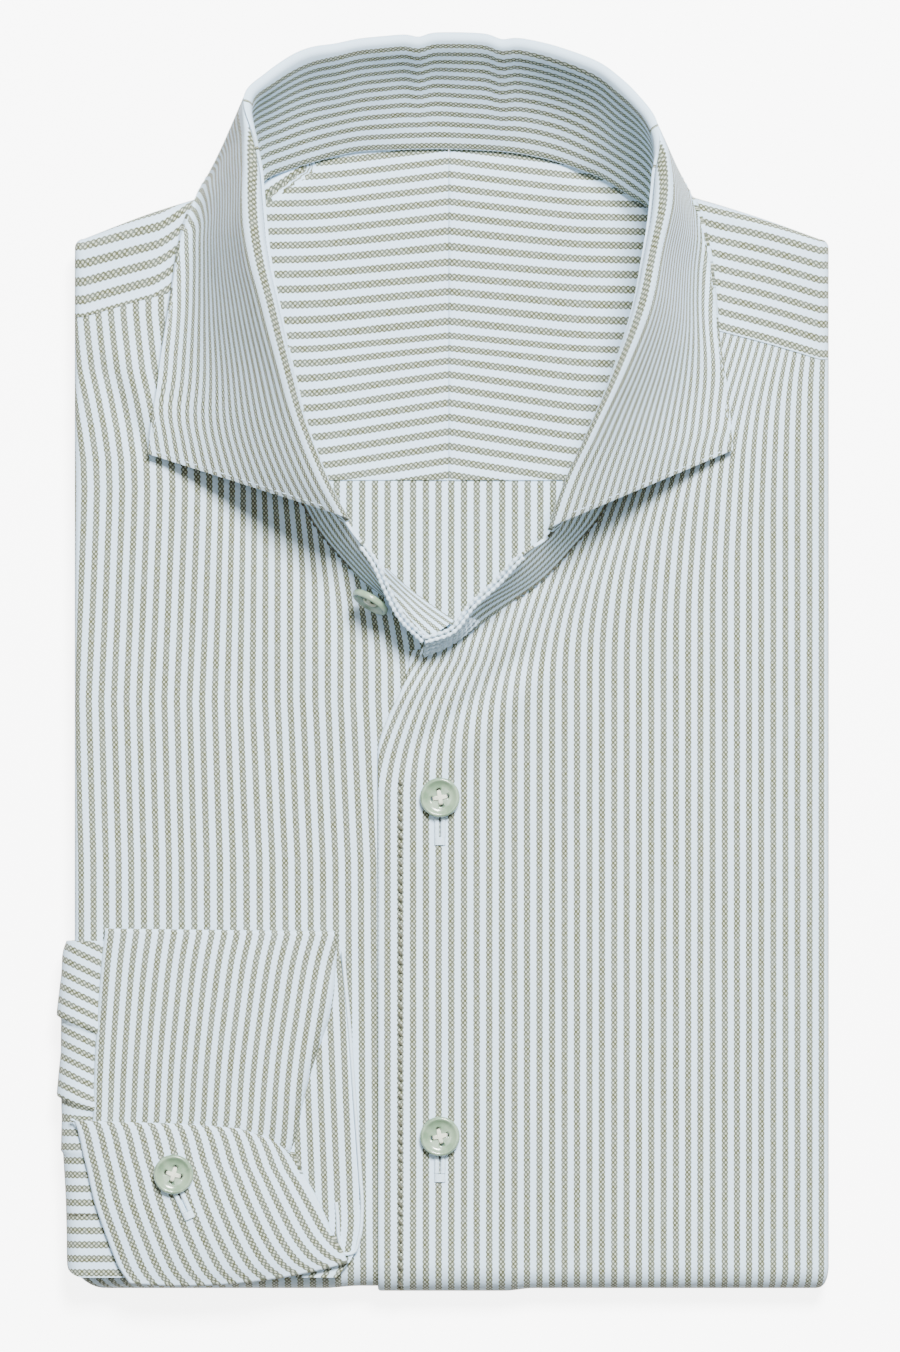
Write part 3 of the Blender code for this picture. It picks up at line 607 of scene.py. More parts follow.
YokeColumn = namedtuple("YokeColumn", "seam_x seam_y seam_z ridge_x ridge_y ridge_z")

LEFT_YOKE = named(YokeColumn, (
    (-55.5, 109.9, 14.7, -53.6, 134, 13.9),
    (-61.5, 108.2, 14.2, -58.5, 133.2, 13.3),
    (-68.9, 106.1, 13.6, -66.5, 130.8, 13),
    (-85.7, 101.7, 13.1, -84, 125.3, 13),
))

RIGHT_YOKE = named(YokeColumn, (
    (61.8, 97.5, 14.9, 58.4, 131, 13.9),
    (67.5, 95.8, 14.2, 64, 131.4, 13.3),
    (75.9, 93.5, 13.6, 72, 129.4, 13),
    (90.7, 89.6, 13.1, 89, 124.1, 13),
))

YOKE_CREASES = named(Crease, (
    (-54, 128, -70, 121, 2.4, -0.5),
    (-56, 120, -74, 114, 3.4, 0.35),
    (62, 124, 80, 119, 3, -0.35),
    (62, 108, 74, 106, 2.6, 0.35),
))

SEAM_LAP = 0.6


def outer_yoke(name, columns, fold_x, sign, seam_y, ridge_y, pitch, phase, bow, bow_start, bow_width):
    """The front of the yoke, over the shoulder fold and under, with its side turned down.

    Its stripes lie a pitch apart from the seam up, and bow down towards the collar.
    """
    centre_x = fold_x - sign * SIDE_FOLD_RADIUS
    table = np.array([*columns, (centre_x, seam_y, BODY_HEIGHT, centre_x, ridge_y, BODY_HEIGHT)])
    places = evenly(table[0, 0] * sign, table[-1, 0] * sign, 0.8)
    flat = spline(table, table[:, 0] * sign, places)
    angles = np.linspace(0, math.pi / 2, 7)[1:]
    side_x = centre_x + sign * SIDE_FOLD_RADIUS * np.sin(angles)
    side = [(x, seam_y, BODY_HEIGHT, x, ridge_y, BODY_HEIGHT) for x in side_x]
    sx, sy, sz, rx, ry, rz = np.concatenate((flat, side)).T
    drop = np.concatenate((0 * places, SIDE_FOLD_RADIUS * (1 - np.cos(angles))))
    spread_x = np.concatenate((places * sign, centre_x + sign * SIDE_FOLD_RADIUS * angles))
    t = np.linspace(0, 1, 36)[:, None]
    height = lerp(sz, rz, ease(t)) + GAP * (1 - ease(t * 6)) - drop
    top = grid(lerp(sx, rx, t), lerp(sy - SEAM_LAP, ry - SHOULDER_RADIUS, t), height)
    top = creased(top, YOKE_CREASES, (drop < SIDE_START) * 1.0)
    bend = np.radians(np.linspace(0, 180, 15))[1:, None]
    half = (rz - SHOULDER_UNDER) / 2
    over = grid(rx, ry - SHOULDER_RADIUS + (SHOULDER_RADIUS - drop) * np.sin(bend),
                SHOULDER_UNDER + half + (half - drop) * np.cos(bend))
    back = np.linspace(0, 1, 8)[1:, None, None]
    under = over[-1] - back * np.array((0.0, SHOULDER_FLAP, 0.0))
    points = np.concatenate((top, over, under))
    reach = lengths(points)
    near = np.clip((bow_start - np.abs(spread_x)) / bow_width, 0, 1)
    across = (reach - bow * near ** 1.6) * PITCH / pitch + phase * PITCH
    return cloth(name, points, across, spread_x + 0 * reach)


INNER_TOP = 11.2
YOKE_LINE = 51.2
CENTRE_SEAM = 0.8
YOKE_PUFF = 0.25
# The yoke's low edge is turned up, over a share of its length
LOW_RISE, LOW_SHARE = 0.35, 1 / 14
BACK_END = -20.5
BACK_REACH = 62.0
BACK_PITCH = 3.55

InnerColumn = namedtuple("InnerColumn", "x top_y top_z")

INNER_COLUMNS = named(InnerColumn, (
    (-66, 124, 11.2),
    (-58, 128, 11.3),
    (-50, 133.6, 11.6),
    (-37.2, 138.4, 11.2),
    (-25.8, 141.2, 11.1),
    (-12, 141.9, 11.1),
    (CENTRE_SEAM, 142, 11.1),
    (14, 141.4, 11.1),
    (26.9, 139.6, 11.1),
    (44, 134.4, 11.5),
    (52, 129.4, 11.6),
    (60, 124.6, 11.3),
    (67, 121, 11.2),
))

INNER_PITCH = 3.97
INNER_LENGTH = 88.0
INNER_TUCK = 3.6
# The tucked edge stands up most in the neck's right back corner
TUCK_RISE, TUCK_RISE_X, TUCK_RISE_WIDTH = 2.4, 50.0, 9.0
SEAM_DEPTH, SEAM_WIDTH = 0.4, 0.45
# A small fold of gathered cloth beside the neck seam: its lower end and its lean
GATHER_X, GATHER_Y, GATHER_LEAN = -51.8, 128.3, 0.60

INNER_CREASES = named(Crease, (
    (-52, 128, -37, 138.4, 1.3, -0.6),
    (-50, 132, -40, 138.9, 1.5, 0.7),
    (-53, 124.5, -34, 137, 2.2, 0.5),
    (-52, 113, -38, 125, 2.4, -0.3),
    (36, 138, 56, 121, 2, -1.1),
    (30, 136, 50, 116, 3, 0.3),
    (-20, 84, 22, 80, 7, -0.25),
))


# How much the inner yoke's stripes fall away from the centre seam, and lie off even spacing
Drift = namedtuple("Drift", "y slope shift")

INNER_DRIFT = named(Drift, (
    (51, 0.155, 0),
    (60, 0.155, 0),
    (76, 0.148, -0.3),
    (85, 0.125, 0),
    (92, 0.105, 1),
    (104, 0.090, 0.5),
    (112, 0.085, 0.3),
    (120, 0.105, -0.5),
    (128, 0.120, -0.8),
    (136, 0.130, -0.5),
    (143, 0.130, 0),
))


def inner_yoke(name, low_x, high_x):
    """Half of the yoke's inner layer, its stripes falling away from the centre seam."""
    columns = np.array(INNER_COLUMNS)
    near = CENTRE_SEAM + np.array((0.0, 0.25, 0.5, 0.9)) * (1 if low_x >= CENTRE_SEAM else -1)
    x = np.unique(np.concatenate((near, evenly(low_x, high_x, 1.0))))
    _, top_y, top_z = spline(columns, columns[:, 0], x).T
    t = evenly(0, 1, 1.0 / INNER_LENGTH)[:, None]
    y = lerp(YOKE_LINE, top_y + INNER_TUCK, t)
    z = lerp(INNER_TOP, top_z, t * t) + YOKE_PUFF * np.sin(math.pi * t) + LOW_RISE * (1 - ease(t / LOW_SHARE))
    z = z + TUCK_RISE * np.exp(-((x - TUCK_RISE_X) / TUCK_RISE_WIDTH) ** 2) * ease((y - top_y) / INNER_TUCK)
    points = creased(grid(x, y, z), INNER_CREASES)
    away = np.abs(x - CENTRE_SEAM)
    points[..., 2] -= SEAM_DEPTH * np.exp(-(away / SEAM_WIDTH) ** 2)
    above = (y - GATHER_Y) * math.cos(GATHER_LEAN) - (x - GATHER_X) * math.sin(GATHER_LEAN)
    fall = read_off(INNER_DRIFT, "slope", y) * (away - 0.8 * ramp(away - 36.0, 2.5))
    count = y - YOKE_LINE + fall + read_off(INNER_DRIFT, "shift", y)
    gathered = above + GATHER_Y - YOKE_LINE + 2.5
    count = lerp(count, gathered, ease(above / 1.5 + 0.5) * ease((-36.5 - x) / 2.5))
    return cloth(name, points, PITCH * (count / INNER_PITCH + 0.1), x + 0 * t)


def back_panel():
    """The back below the yoke, as far down as it lies apart from the folded layers."""
    x, y = np.meshgrid(evenly(-BACK_REACH, BACK_REACH, 1.4), evenly(YOKE_LINE + 0.5, BACK_END, 1.4))
    points = grid(x, y, INNER_TOP - 0.15 + 0.12 * ripple(x, y, 9.0))
    return cloth("back_panel", points, x * PITCH / BACK_PITCH + 0.3, y)


# Collar: stations from the left front end, round the back, to the right front end

Station = namedtuple("Station", "neck_x neck_y neck_z fold_x fold_y fold_z leaf_x leaf_y leaf_z")

LEAF_STATIONS = named(Station, (
    (-39, 42.3, 15.4, -26, 39.8, 38, -83, 58.5, 16),
    (-42.3, 49, 15.4, -30.6, 48, 41.5, -82.1, 66.8, 16.5),
    (-46.2, 59.6, 15.4, -37.5, 64.5, 46, -80.7, 75.2, 17),
    (-51, 76.3, 15.4, -42.9, 83.6, 50, -79.3, 86, 17),
    (-53.8, 91.6, 15.3, -47, 100.1, 52.5, -77.7, 95.8, 17),
    (-54.8, 104.2, 15.1, -49.8, 111.1, 53, -76, 105.5, 16.5),
    (-54.5, 119.5, 14.9, -52.3, 127.6, 52, -73.8, 118.1, 16),
    (-53.2, 129.8, 14.6, -54, 144.2, 49.5, -70.6, 128.4, 14.8),
    (-50.2, 135.6, 13.2, -55, 156.4, 46, -64.8, 138.6, 8),
    (-43.5, 138.3, 12.2, -49.3, 162.2, 44, -57, 147.4, 4),
    (-37.1, 140.3, 11.9, -41.7, 167.5, 42, -49.2, 151.5, 2),
    (-25.7, 143.1, 11.7, -30.4, 171, 40, -35.3, 153.5, 1.8),
    (-12.8, 143.8, 11.6, -18.2, 172.4, 38.5, -19.9, 154.5, 1.8),
    (2.5, 143.9, 11.6, -1.6, 173.6, 37.2, -1.6, 155, 1.8),
    (16.5, 143.2, 11.6, 15.2, 172.8, 37.5, 16.8, 154.5, 1.8),
    (26.8, 141.5, 11.7, 31.5, 169.3, 40, 33.6, 153, 1.8),
    (36, 138.8, 12, 47.5, 162, 43, 50.4, 149.5, 2.2),
    (43.8, 135.8, 12.4, 53, 155.8, 45, 58.4, 146, 4),
    (51.3, 131, 13.2, 57.2, 149.8, 47, 64.2, 138.6, 8),
    (57, 127, 14.4, 59.6, 141.5, 50, 69.4, 128.4, 14.8),
    (59.8, 116.7, 14.9, 58.9, 129.6, 51.5, 72.7, 116.7, 16.5),
    (61.6, 104.2, 15.2, 55.6, 113.8, 53, 74.3, 105.5, 17),
    (61.6, 91.6, 15.3, 52.3, 98.7, 53, 75.7, 93, 17),
    (58.2, 76.3, 15.4, 45.4, 79.8, 50, 77.4, 83.5, 17),
    (53.5, 61, 15.4, 37.2, 61.5, 45, 78.8, 73.5, 16.5),
    (48.5, 50.1, 15.4, 31.5, 49.1, 40.5, 79.4, 65.7, 16.5),
    (44, 42.3, 15.4, 27.4, 37, 37, 79.9, 59.6, 16),
))

BandEnd = namedtuple("BandEnd", "neck_x neck_y neck_z top_x top_y top_z")

LEFT_BAND = named(BandEnd, (
    (-2.2, 11.7, 15.4, -6.1, 6.6, 24),
    (-12.3, 16.1, 15.5, -12.2, 12.7, 28),
    (-21.7, 21.7, 15.5, -16.1, 19.9, 31),
    (-30.1, 30.1, 15.5, -19.9, 28.2, 34),
))

RIGHT_BAND = named(BandEnd, (
    (36.8, 33.7, 15.4, 21.1, 29.9, 34),
    (27.6, 23.9, 15.6, 14.4, 22.7, 31),
    (15, 14.8, 16.2, 7.2, 16.1, 28.5),
    (2.5, 6, 16.4, 1.3, 9, 26.4),
    (-6.6, 1.8, 15.6, -5.8, 6.6, 25.4),
))

SIDE_ROLL, BACK_ROLL = 3.7, 0.9
LEAF_HOOK = 2.5
COLLAR_CLOTH = 1.2
SIDE_FLARE = 1.0
POINT_FLARE = 0.15
POINT_SWELL = 0.5
BAND_PITCH = 3.3

# The leaf's first stripes by their distance from the fold's crest, then evenly on
LeafStripe = namedtuple("LeafStripe", "reach count")

FOLD_STRIPES = named(LeafStripe, ((-3.8, -0.25), (-1, 0.25), (1.6, 0.75), (3.6, 1.25), (63.6, 25.25)))
BACK_STRIPES = named(LeafStripe, ((-3.8, 0.8), (6, 1.2), (66, 18)))

# Grid steps from the neck seam up to the roll, round it, down the leaf, and of the inner face over it
STAND_STEPS, ROLL_STEPS, LEAF_STEPS, OVER_STEPS = 34, 13, 44, 12
CREST = 2 + ROLL_STEPS // 2
# The leaf is at the side where its edge lies high, and near its point where it comes forward
SIDE_LEVEL, SIDE_FADE = 8.0, 6.5
POINT_Y, POINT_FADE = 100.0, 40.0
ROLL_Y, ROLL_FADE = 112.0, 25.0
WIDE_ROLL = 2.5
BEHIND_Y, BEHIND_FADE = 118.0, 22.0
# The stand's stripes go on over the roll, and end in white there
RIM_STRIPES, RIM_START, RIM_FADE = 2.2, 1.8, 1.2
STAND_SAG = 2.6
STAND_WALL = 0.8
STAND_PHASE = 0.2
STAND_WAVE, STAND_WAVE_LENGTH, STAND_WAVE_DRIFT = 0.5, 6.3, 17.0
LEAF_WAVE, LEAF_WAVE_LENGTH, LEAF_WAVE_START = 0.25, 8.0, 10.0
# The leaf bulges in its lower part
BULGE, BULGE_FROM = 1.65, 0.45
# The inner face ends over the roll at these steps, in front and behind, and lies this far off it
OVER_FRONT, OVER_BEHIND, OVER_LIFT = 0.9, CREST + 2.0, 0.15
BAND_RISE = 0.4

# Soft dents in the collar's back where it was pressed
Dent = namedtuple("Dent", "x width depth")

DENTS = named(Dent, ((-7.5, 2.6, 1), (15.4, 2.8, 1.1), (-30, 5, 0.6), (48, 4, 0.9)))
DENTS_FROM_Y, DENTS_REACH = 135.0, 12.0


def share_behind(y):
    return ease((y - BEHIND_Y) / BEHIND_FADE)


def collar_rows():
    """The stand's and the leaf's rows of points, finely spaced along the collar."""
    table = np.array(LEAF_STATIONS)
    at = lengths(table.reshape(-1, 3, 3)).mean(axis=1)
    rows = spline(table, at, evenly(0, at[-1], 1.2))
    neck, fold, leaf = rows[:, 0:3], rows[:, 3:6], rows[:, 6:9]
    side = ease((leaf[:, 2] - SIDE_LEVEL) / SIDE_FADE)
    point = ease((POINT_Y - leaf[:, 1]) / POINT_FADE)
    flare = side * lerp(SIDE_FLARE, POINT_FLARE, point)
    swell = side * POINT_SWELL * point
    up = unit(fold - neck)
    down = leaf - fold
    down[:, 2] *= 1 + 0.5 * flare - swell
    down = unit(down)
    crest, out = unit(up - down), unit(up + down)
    half = np.arctan2((up * out).sum(1), (up * crest).sum(1))
    radius = lerp(SIDE_ROLL, BACK_ROLL, ease((leaf[:, 1] - ROLL_Y) / ROLL_FADE))[:, None]
    away = unit((leaf - fold) * (1.0, 1.0, 0.0))
    centre = fold - crest * radius + away * np.maximum(radius - WIDE_ROLL, 0.0)
    rolled = []
    for k in np.linspace(0, 1, ROLL_STEPS):
        angle = lerp(math.pi - half, half, k)[:, None]
        rolled.append(centre + radius * (out * np.cos(angle) + crest * np.sin(angle)))
    hook = rolled[0] - up * LEAF_HOOK
    stand_top = hook - up * GAP
    fallen = []
    for t in np.linspace(0, 1, LEAF_STEPS)[1:]:
        step = lerp(rolled[-1], leaf, t)
        share = lerp(t, ease(t), swell) + flare * (0.5 * t - BULGE * max(0.0, t - BULGE_FROM) ** 2)
        step[:, 2] = lerp(rolled[-1][:, 2], leaf[:, 2], share)
        fallen.append(step)
    leaf_grid = np.stack((hook, lerp(hook, rolled[0], 0.5), *rolled, *fallen), axis=1)
    return np.concatenate((neck, stand_top), axis=1), leaf_grid, leaf - fold


def dented(points, height):
    """The points with the collar's dents, deepest at the fold."""
    out = points.copy()
    for dent in DENTS:
        near = np.exp(-((points[..., 0] - dent.x) / dent.width) ** 2) * (points[..., 1] > DENTS_FROM_Y)
        out[..., 1] -= dent.depth * near * height
    return out


def collar():
    """The stand from its neck seam up over the fold's inner side, and the leaf from the fold down."""
    stations, leaf_points, fall = collar_rows()
    ends = [np.array(band) for band in (LEFT_BAND, RIGHT_BAND)]
    table = np.concatenate((ends[0], stations, ends[1]))
    at = lengths(table.reshape(-1, 2, 3)).mean(axis=1)
    first, last = len(ends[0]), len(table) - len(ends[1]) - 1
    before, after = evenly(0, at[first], 1.0)[:-1], evenly(at[last], at[-1], 1.0)[1:]
    rows = spline(table, at, np.concatenate((before, at[first:last + 1], after)))
    neck, top = rows[:, None, 0:3], rows[:, None, 3:6]
    head, tail = len(before), len(after)
    t = np.linspace(0, 1, STAND_STEPS)[None, :, None]
    stand = lerp(neck, top, t)
    height = np.linalg.norm(top - neck, axis=-1) * t[..., 0]
    run = lengths(neck[:, 0])[:, None]
    behind = share_behind(np.pad(leaf_points[:, -1, 1], (head, tail), mode="edge"))[:, None]
    bow = -STAND_SAG * np.sin(math.pi * t[..., 0]) * behind
    drift = 0.8 * np.sin(run / STAND_WAVE_DRIFT)
    wave = STAND_WAVE * np.sin(run / STAND_WAVE_LENGTH + drift) * np.sin(math.pi * t[..., 0])
    stand = dented(stand + facing_up(stand) * (bow + wave)[..., None], ease(t[..., 0] * 1.3))

    # The inner face goes on over the roll: to its outer side behind, just over its inner side in front
    over = np.linspace(0, 1, OVER_STEPS)[1:]
    outer = leaf_points + OVER_LIFT * facing_up(leaf_points, CREST)
    rolled = []
    for k, end in enumerate(lerp(OVER_FRONT, OVER_BEHIND, behind[head:head + len(stations), 0])):
        low = (over * end).astype(int)
        rolled.append(lerp(outer[k, low], outer[k, low + 1], (over * end - low)[:, None]))
    rise = BAND_RISE * over[:, None] * np.array((0.0, 0.0, 1.0))
    rolled = dented(np.array(rolled), 1.0)
    rolled = np.concatenate((stand[:head, -1:] + rise, rolled, stand[-tail:, -1:] + rise))
    points = np.concatenate((stand, rolled), axis=1)
    above = lengths(np.concatenate((stand[:, -1:], rolled), axis=1).transpose(1, 0, 2)).T[:, 1:]
    height = np.concatenate((height, height[:, -1:] + above), axis=1)
    across = height * PITCH / BAND_PITCH + STAND_PHASE * PITCH
    edge = across[:, STAND_STEPS - 1:STAND_STEPS] + RIM_STRIPES * PITCH / BAND_PITCH * behind
    rim = ease((above - RIM_START * behind) / RIM_FADE)
    over_roll = across[:, STAND_STEPS:]
    over_roll[:] = lerp(np.minimum(over_roll, edge), np.round(edge / PITCH) * PITCH, rim)
    sheet = cloth("collar_stand", points, across, run + 0 * height, STAND_WALL,
                  (1, 0, 0))

    crest = leaf_points[:, CREST]
    run = lengths(crest)
    tangent = unit(np.gradient(crest, axis=0))
    slant = (unit(fall) * tangent).sum(1)[:, None]
    reach = lengths(leaf_points.transpose(1, 0, 2)).T
    reach = reach - reach[:, CREST:CREST + 1]
    leaf_points = dented(leaf_points, ease((DENTS_REACH - np.abs(reach)) / DENTS_REACH))
    wave = LEAF_WAVE * np.sin(run / LEAF_WAVE_LENGTH)[:, None] * ease(reach / LEAF_WAVE_START)
    leaf_points = leaf_points + normals(leaf_points) * wave[..., None]
    in_front = read_off(FOLD_STRIPES, "count", reach * np.sqrt(1 - slant ** 2))
    at_back = read_off(BACK_STRIPES, "count", reach)
    across = PITCH * lerp(in_front, at_back, share_behind(leaf_points[:, -1:, 1]))
    leaf = cloth("collar_leaf", leaf_points, across, run[:, None] + reach * slant, COLLAR_CLOTH,
                 (1, 0, 0))
    return sheet, leaf


# Sleeve and cuff, brought round the left side onto the front

SLEEVE_CLOTH = 1.2
SLEEVE_UNDER_TOP = BODY_HEIGHT + GAP + SLEEVE_CLOTH
SLEEVE_UPPER_TOP = SLEEVE_UNDER_TOP + GAP + SLEEVE_CLOTH
CUFF_CLOTH = 1.5
CUFF_TOP = SLEEVE_UNDER_TOP + 2 * GAP + CUFF_CLOTH
CUFF_DOME = 2.4
GROOVE_LEVEL = 5.9
GROOVE_REACH = 11.0
SLEEVE_PUFF = 1.2
SLEEVE_WALL = 0.6
CUFF_WALL = 0.5
# Left of this the sleeve's stripes lie sideways, right of it they stand upright
SIDEWAYS_END = -70.0
SIDEWAYS_PITCH = 3.9
SIDE_LEAN, LEAN_Y, LEAN_FADE = 0.47, -128.0, 8.0
# How far the upright stripes follow the sleeve's right edge
EDGE_FOLLOW = 0.6
PLEATS_X, PLEATS_FADE = -92.0, 6.0
HEM_X, HEM_Y, HEM_FADE, HEM_LIFT = -34.0, -160.0, 8.0, 0.25

SleeveRow = namedtuple("SleeveRow", "y side_x right_x")

SLEEVE_UNDER_ROWS = named(SleeveRow, (
    (-77.2, -105.9, -30.5),
    (-79, -106.6, -30),
    (-88, -107.2, -28.6),
    (-104, -107.5, -27.2),
    (-122, -107.4, -26),
    (-136, -106.9, -25),
    (-148, -106.2, -24.2),
    (-158, -105.9, -24),
    (-166, -105.8, -26.5),
    (-171, -105.6, -30.5),
))

# Pleats over the sleeve's side: height of the edge at the side and its slope inward
Pleat = namedtuple("Pleat", "y slope reach depth")

SLEEVE_PLEATS = named(Pleat, (
    (-101.5, 0.40, 14, 1.3),
    (-123.5, 0.36, 12, 1.3),
    (-137, 0.10, 9, 0.6),
))


def sleeve_under():
    """The sleeve's under layer: out of the side groove, round the side and over the front."""
    table = np.array(SLEEVE_UNDER_ROWS)
    y = evenly(table[0, 0], table[-1, 0], 0.8)
    _, side_x, right_x = spline(table[::-1], table[::-1, 0], y).T[:, :, None]
    y = y[:, None]
    turn_x = SIDE_LEFT + SIDE_FOLD_RADIUS
    t = joined((0, 0.25, 20), (0.25, 0.8, 24), (0.8, 1, 20))
    flat = grid(lerp(right_x, turn_x, t), y, SLEEVE_UNDER_TOP)
    bend = np.radians(np.linspace(0, 180, 17))[1:]
    radius = (SLEEVE_UNDER_TOP - GROOVE_LEVEL) / 2
    root_y = np.maximum(y, TURN_LINE + GAP)
    wrap = grid(turn_x - (turn_x - side_x) * np.sin(bend), lerp(y, root_y, ease(bend / math.radians(120))),
                GROOVE_LEVEL + radius * (1 + np.cos(bend)))
    tuck = wrap[:, -1:] + np.array((GROOVE_REACH, 0.0, 0.0))
    points = np.concatenate((flat, wrap, tuck), axis=1)
    reach = lengths(points.transpose(1, 0, 2)).T
    reach = reach - reach[:, len(t) - 1:len(t)]
    outer = ease((PLEATS_X - points[..., 0]) / PLEATS_FADE)
    lift = 0.0
    for pleat in SLEEVE_PLEATS:
        below = points[..., 1] - (pleat.y + pleat.slope * reach)
        lift = lift + pleat.depth * ease(below / 0.9 + 0.5) * np.clip(1 - below / pleat.reach, 0, 1)
    points = points + facing_up(points) * (lift * outer)[..., None]
    points[..., 2] += HEM_LIFT * ease((HEM_Y - y) / HEM_FADE) * ease((points[..., 0] - HEM_X) / HEM_FADE)
    lean = SIDE_LEAN * ease((y - LEAN_Y) / LEAN_FADE)
    sideways = (points[..., 1] + lean * (points[..., 0] - SIDE_LEFT)) * PITCH / SIDEWAYS_PITCH
    on_side = points[..., 0] < SIDEWAYS_END
    across = np.where(on_side, sideways, points[..., 0] - EDGE_FOLLOW * right_x)
    return cloth("sleeve_under", points, across, np.where(on_side, reach, points[..., 1]), SLEEVE_WALL)


# Where the sleeve is sewn to the cuff, from left to right
SeamPlace = namedtuple("SeamPlace", "x y")

CUFF_SEAM = named(SeamPlace, (
    (-103.8, -127.6),
    (-90.4, -128),
    (-70, -128.6),
    (-57.7, -129.8),
    (-49, -132.6),
    (-43.8, -136.2),
))

# The panel's rolled edges: how deep they drop at its left and right, and how far its top fold reaches
DROP_LEFT, DROP_RIGHT, TOP_ROLL = 1.0, 1.9, 1.1
# How much wider than the photo's plan the stripes lie at the cuff
PANEL_SPREAD = 1.10

PanelRow = namedtuple("PanelRow", "left_x left_y right_x right_y")

SLEEVE_UPPER_ROWS = named(PanelRow, (
    (-95, -74.8, -30.2, -75.6),
    (-96, -84, -30.4, -84),
    (-97, -97, -31.9, -97),
    (-97.8, -110, -36.3, -110),
    (-98.2, -120, -40.6, -124),
    (-98.6, -127.2, -44.9, -134.6),
))

SLEEVE_CREASES = named(Crease, (
    (-94, -84, -97, -126, 2.2, 0.25),
    (-34.5, -90, -47, -131, 3, 1.5),
    (-44, -86, -56, -126, 4, -0.4),
    (-70, -104, -74, -129, 3, -0.35),
    (-82, -110, -84, -128, 2.4, 0.3),
    (-36, -80, -40, -110, 2, -0.35),
))


def sleeve_upper():
    """The sleeve folded back over itself; its top edge is the fold."""
    table = np.array(SLEEVE_UPPER_ROWS)
    k = np.linspace(0, len(table) - 1, 66)
    left_x, left_y, right_x, right_y = spline(table, np.arange(len(table)), k).T[:, :, None]
    t = joined((0, 0.06, 8), (0.06, 0.94, 60), (0.94, 1, 8))
    x, y = lerp(left_x, right_x, t), lerp(left_y, right_y, t)
    share = (k / k[-1])[:, None]
    y = lerp(y, read_off(CUFF_SEAM, "y", x) - 0.7, ease((share - 0.7) / 0.3))
    edge = np.minimum(np.minimum(t, 1 - t) / 0.05, 1.0)
    puff = SLEEVE_PUFF * np.sin(math.pi * share) * np.sin(math.pi * t)
    z = SLEEVE_UPPER_TOP + puff - lerp(DROP_LEFT, DROP_RIGHT, t) * (1 - np.sqrt(edge * (2 - edge)))
    panel = creased(grid(x, y, z), SLEEVE_CREASES)
    bend = np.radians(np.linspace(90, 10, 7))[:, None]
    top_x, top_y, top_z = panel[0].T
    lip = grid(top_x, top_y + TOP_ROLL * np.sin(bend), top_z - TOP_ROLL * (1 - np.cos(bend)))
    points = np.concatenate((lip, panel))
    reach = lengths(points)
    width = lerp(1.0, PANEL_SPREAD, np.concatenate((0 * bend, share)))
    left = np.concatenate((0 * bend + left_x[0], left_x))
    across = (points[..., 0] - left) * width
    return cloth("sleeve_upper", points, across, -reach, SLEEVE_WALL)


# The cuff's stripes: their lean, where they begin, how they draw together downwards, and their run
CUFF_LEAN, CUFF_PHASE, CUFF_TAPER = 0.40, 0.08, 0.15
CUFF_RUN_X, CUFF_RUN_Y = -0.34, 0.94
CUFF_LIP, CUFF_DROP = 0.9, 1.1

CuffRow = namedtuple("CuffRow", "left_x left_y middle_y right_x right_y")

CUFF_ROWS = named(CuffRow, (
    (-103.8, -127.6, -129, -43.8, -136),
    (-99.9, -138, -139.5, -40.6, -142),
    (-97.2, -149.6, -150, -36.6, -149),
    (-93.6, -160, -160.5, -32.6, -158.2),
    (-90.4, -168, -168, -29.6, -163.6),
    (-87.8, -172, -171.8, -28.4, -166.4),
))


def cuff():
    """The buttoned cuff, domed, its lower and right edges rolling down."""
    table = np.array(CUFF_ROWS)
    k = np.linspace(0, len(table) - 1, 56)
    left_x, left_y, middle_y, right_x, right_y = spline(table, np.arange(len(table)), k).T[:, :, None]
    share = (k / k[-1])[:, None]
    t = np.linspace(0, 1, 84)
    x = lerp(left_x, right_x, t)
    y = lerp(left_y, right_y, t) + 4 * t * (1 - t) * (middle_y - (left_y + right_y) / 2)
    y = lerp(read_off(CUFF_SEAM, "y", x) + 0.5, y, ease(share / 0.2))
    dome = CUFF_DOME * np.sin(math.pi * share ** 0.8) * np.sin(math.pi * t) ** 0.8
    panel = grid(x, y, CUFF_TOP + 0.1 + dome)
    across = (x - left_x) / (1 + CUFF_TAPER * share) * math.cos(CUFF_LEAN) + CUFF_PHASE * PITCH
    along = CUFF_RUN_Y * panel[..., 1] + CUFF_RUN_X * panel[..., 0]
    angles = np.radians(np.linspace(0, 90, 6))[1:]
    for axis, side in ((0, -1), (1, 0), (1, -1)):
        edge, inner = np.take(panel, side, axis), np.take(panel, -2 if side else 1, axis)
        away = unit((edge - inner) * (1, 1, 0))
        lip = np.stack([edge + away * CUFF_LIP * math.sin(a) - np.array((0, 0, CUFF_DROP)) * (1 - math.cos(a))
                        for a in (angles if side else angles[::-1])], axis=axis)
        more = [np.repeat(np.take(part, [side], axis), len(angles), axis) for part in (across, along)]
        order = (1 if side else -1)
        panel = np.concatenate((panel, lip)[::order], axis=axis)
        across = np.concatenate((across, more[0])[::order], axis=axis)
        along = np.concatenate((along, more[1])[::order], axis=axis)
    return cloth("cuff", panel, across, along, CUFF_WALL)


# Folded layers behind the fronts: slabs of cloth with rounded edges

Layer = namedtuple("Layer", "outline low high inset")

NECK_CORNER = 124.5
CORE_LOW = CLOTH + GAP + 0.1
CORE_HIGH = BODY_HEIGHT - CORE_LOW
CORE_UNDER_BACK = INNER_TOP - CLOTH - GAP
NECK_EDGE = ((70.0, NECK_CORNER), (58.0, 127.5), (44.0, 132.0), (26.9, 138.7), (0.0, 141.4),
             (-25.8, 140.2), (-37.2, 136.4), (-48.0, 131.6), (-58.0, 128.0), (-69.0, NECK_CORNER))


def box_outline(left, right, low, high):
    return ((left, low), (right, low), (right, high), (left, high))


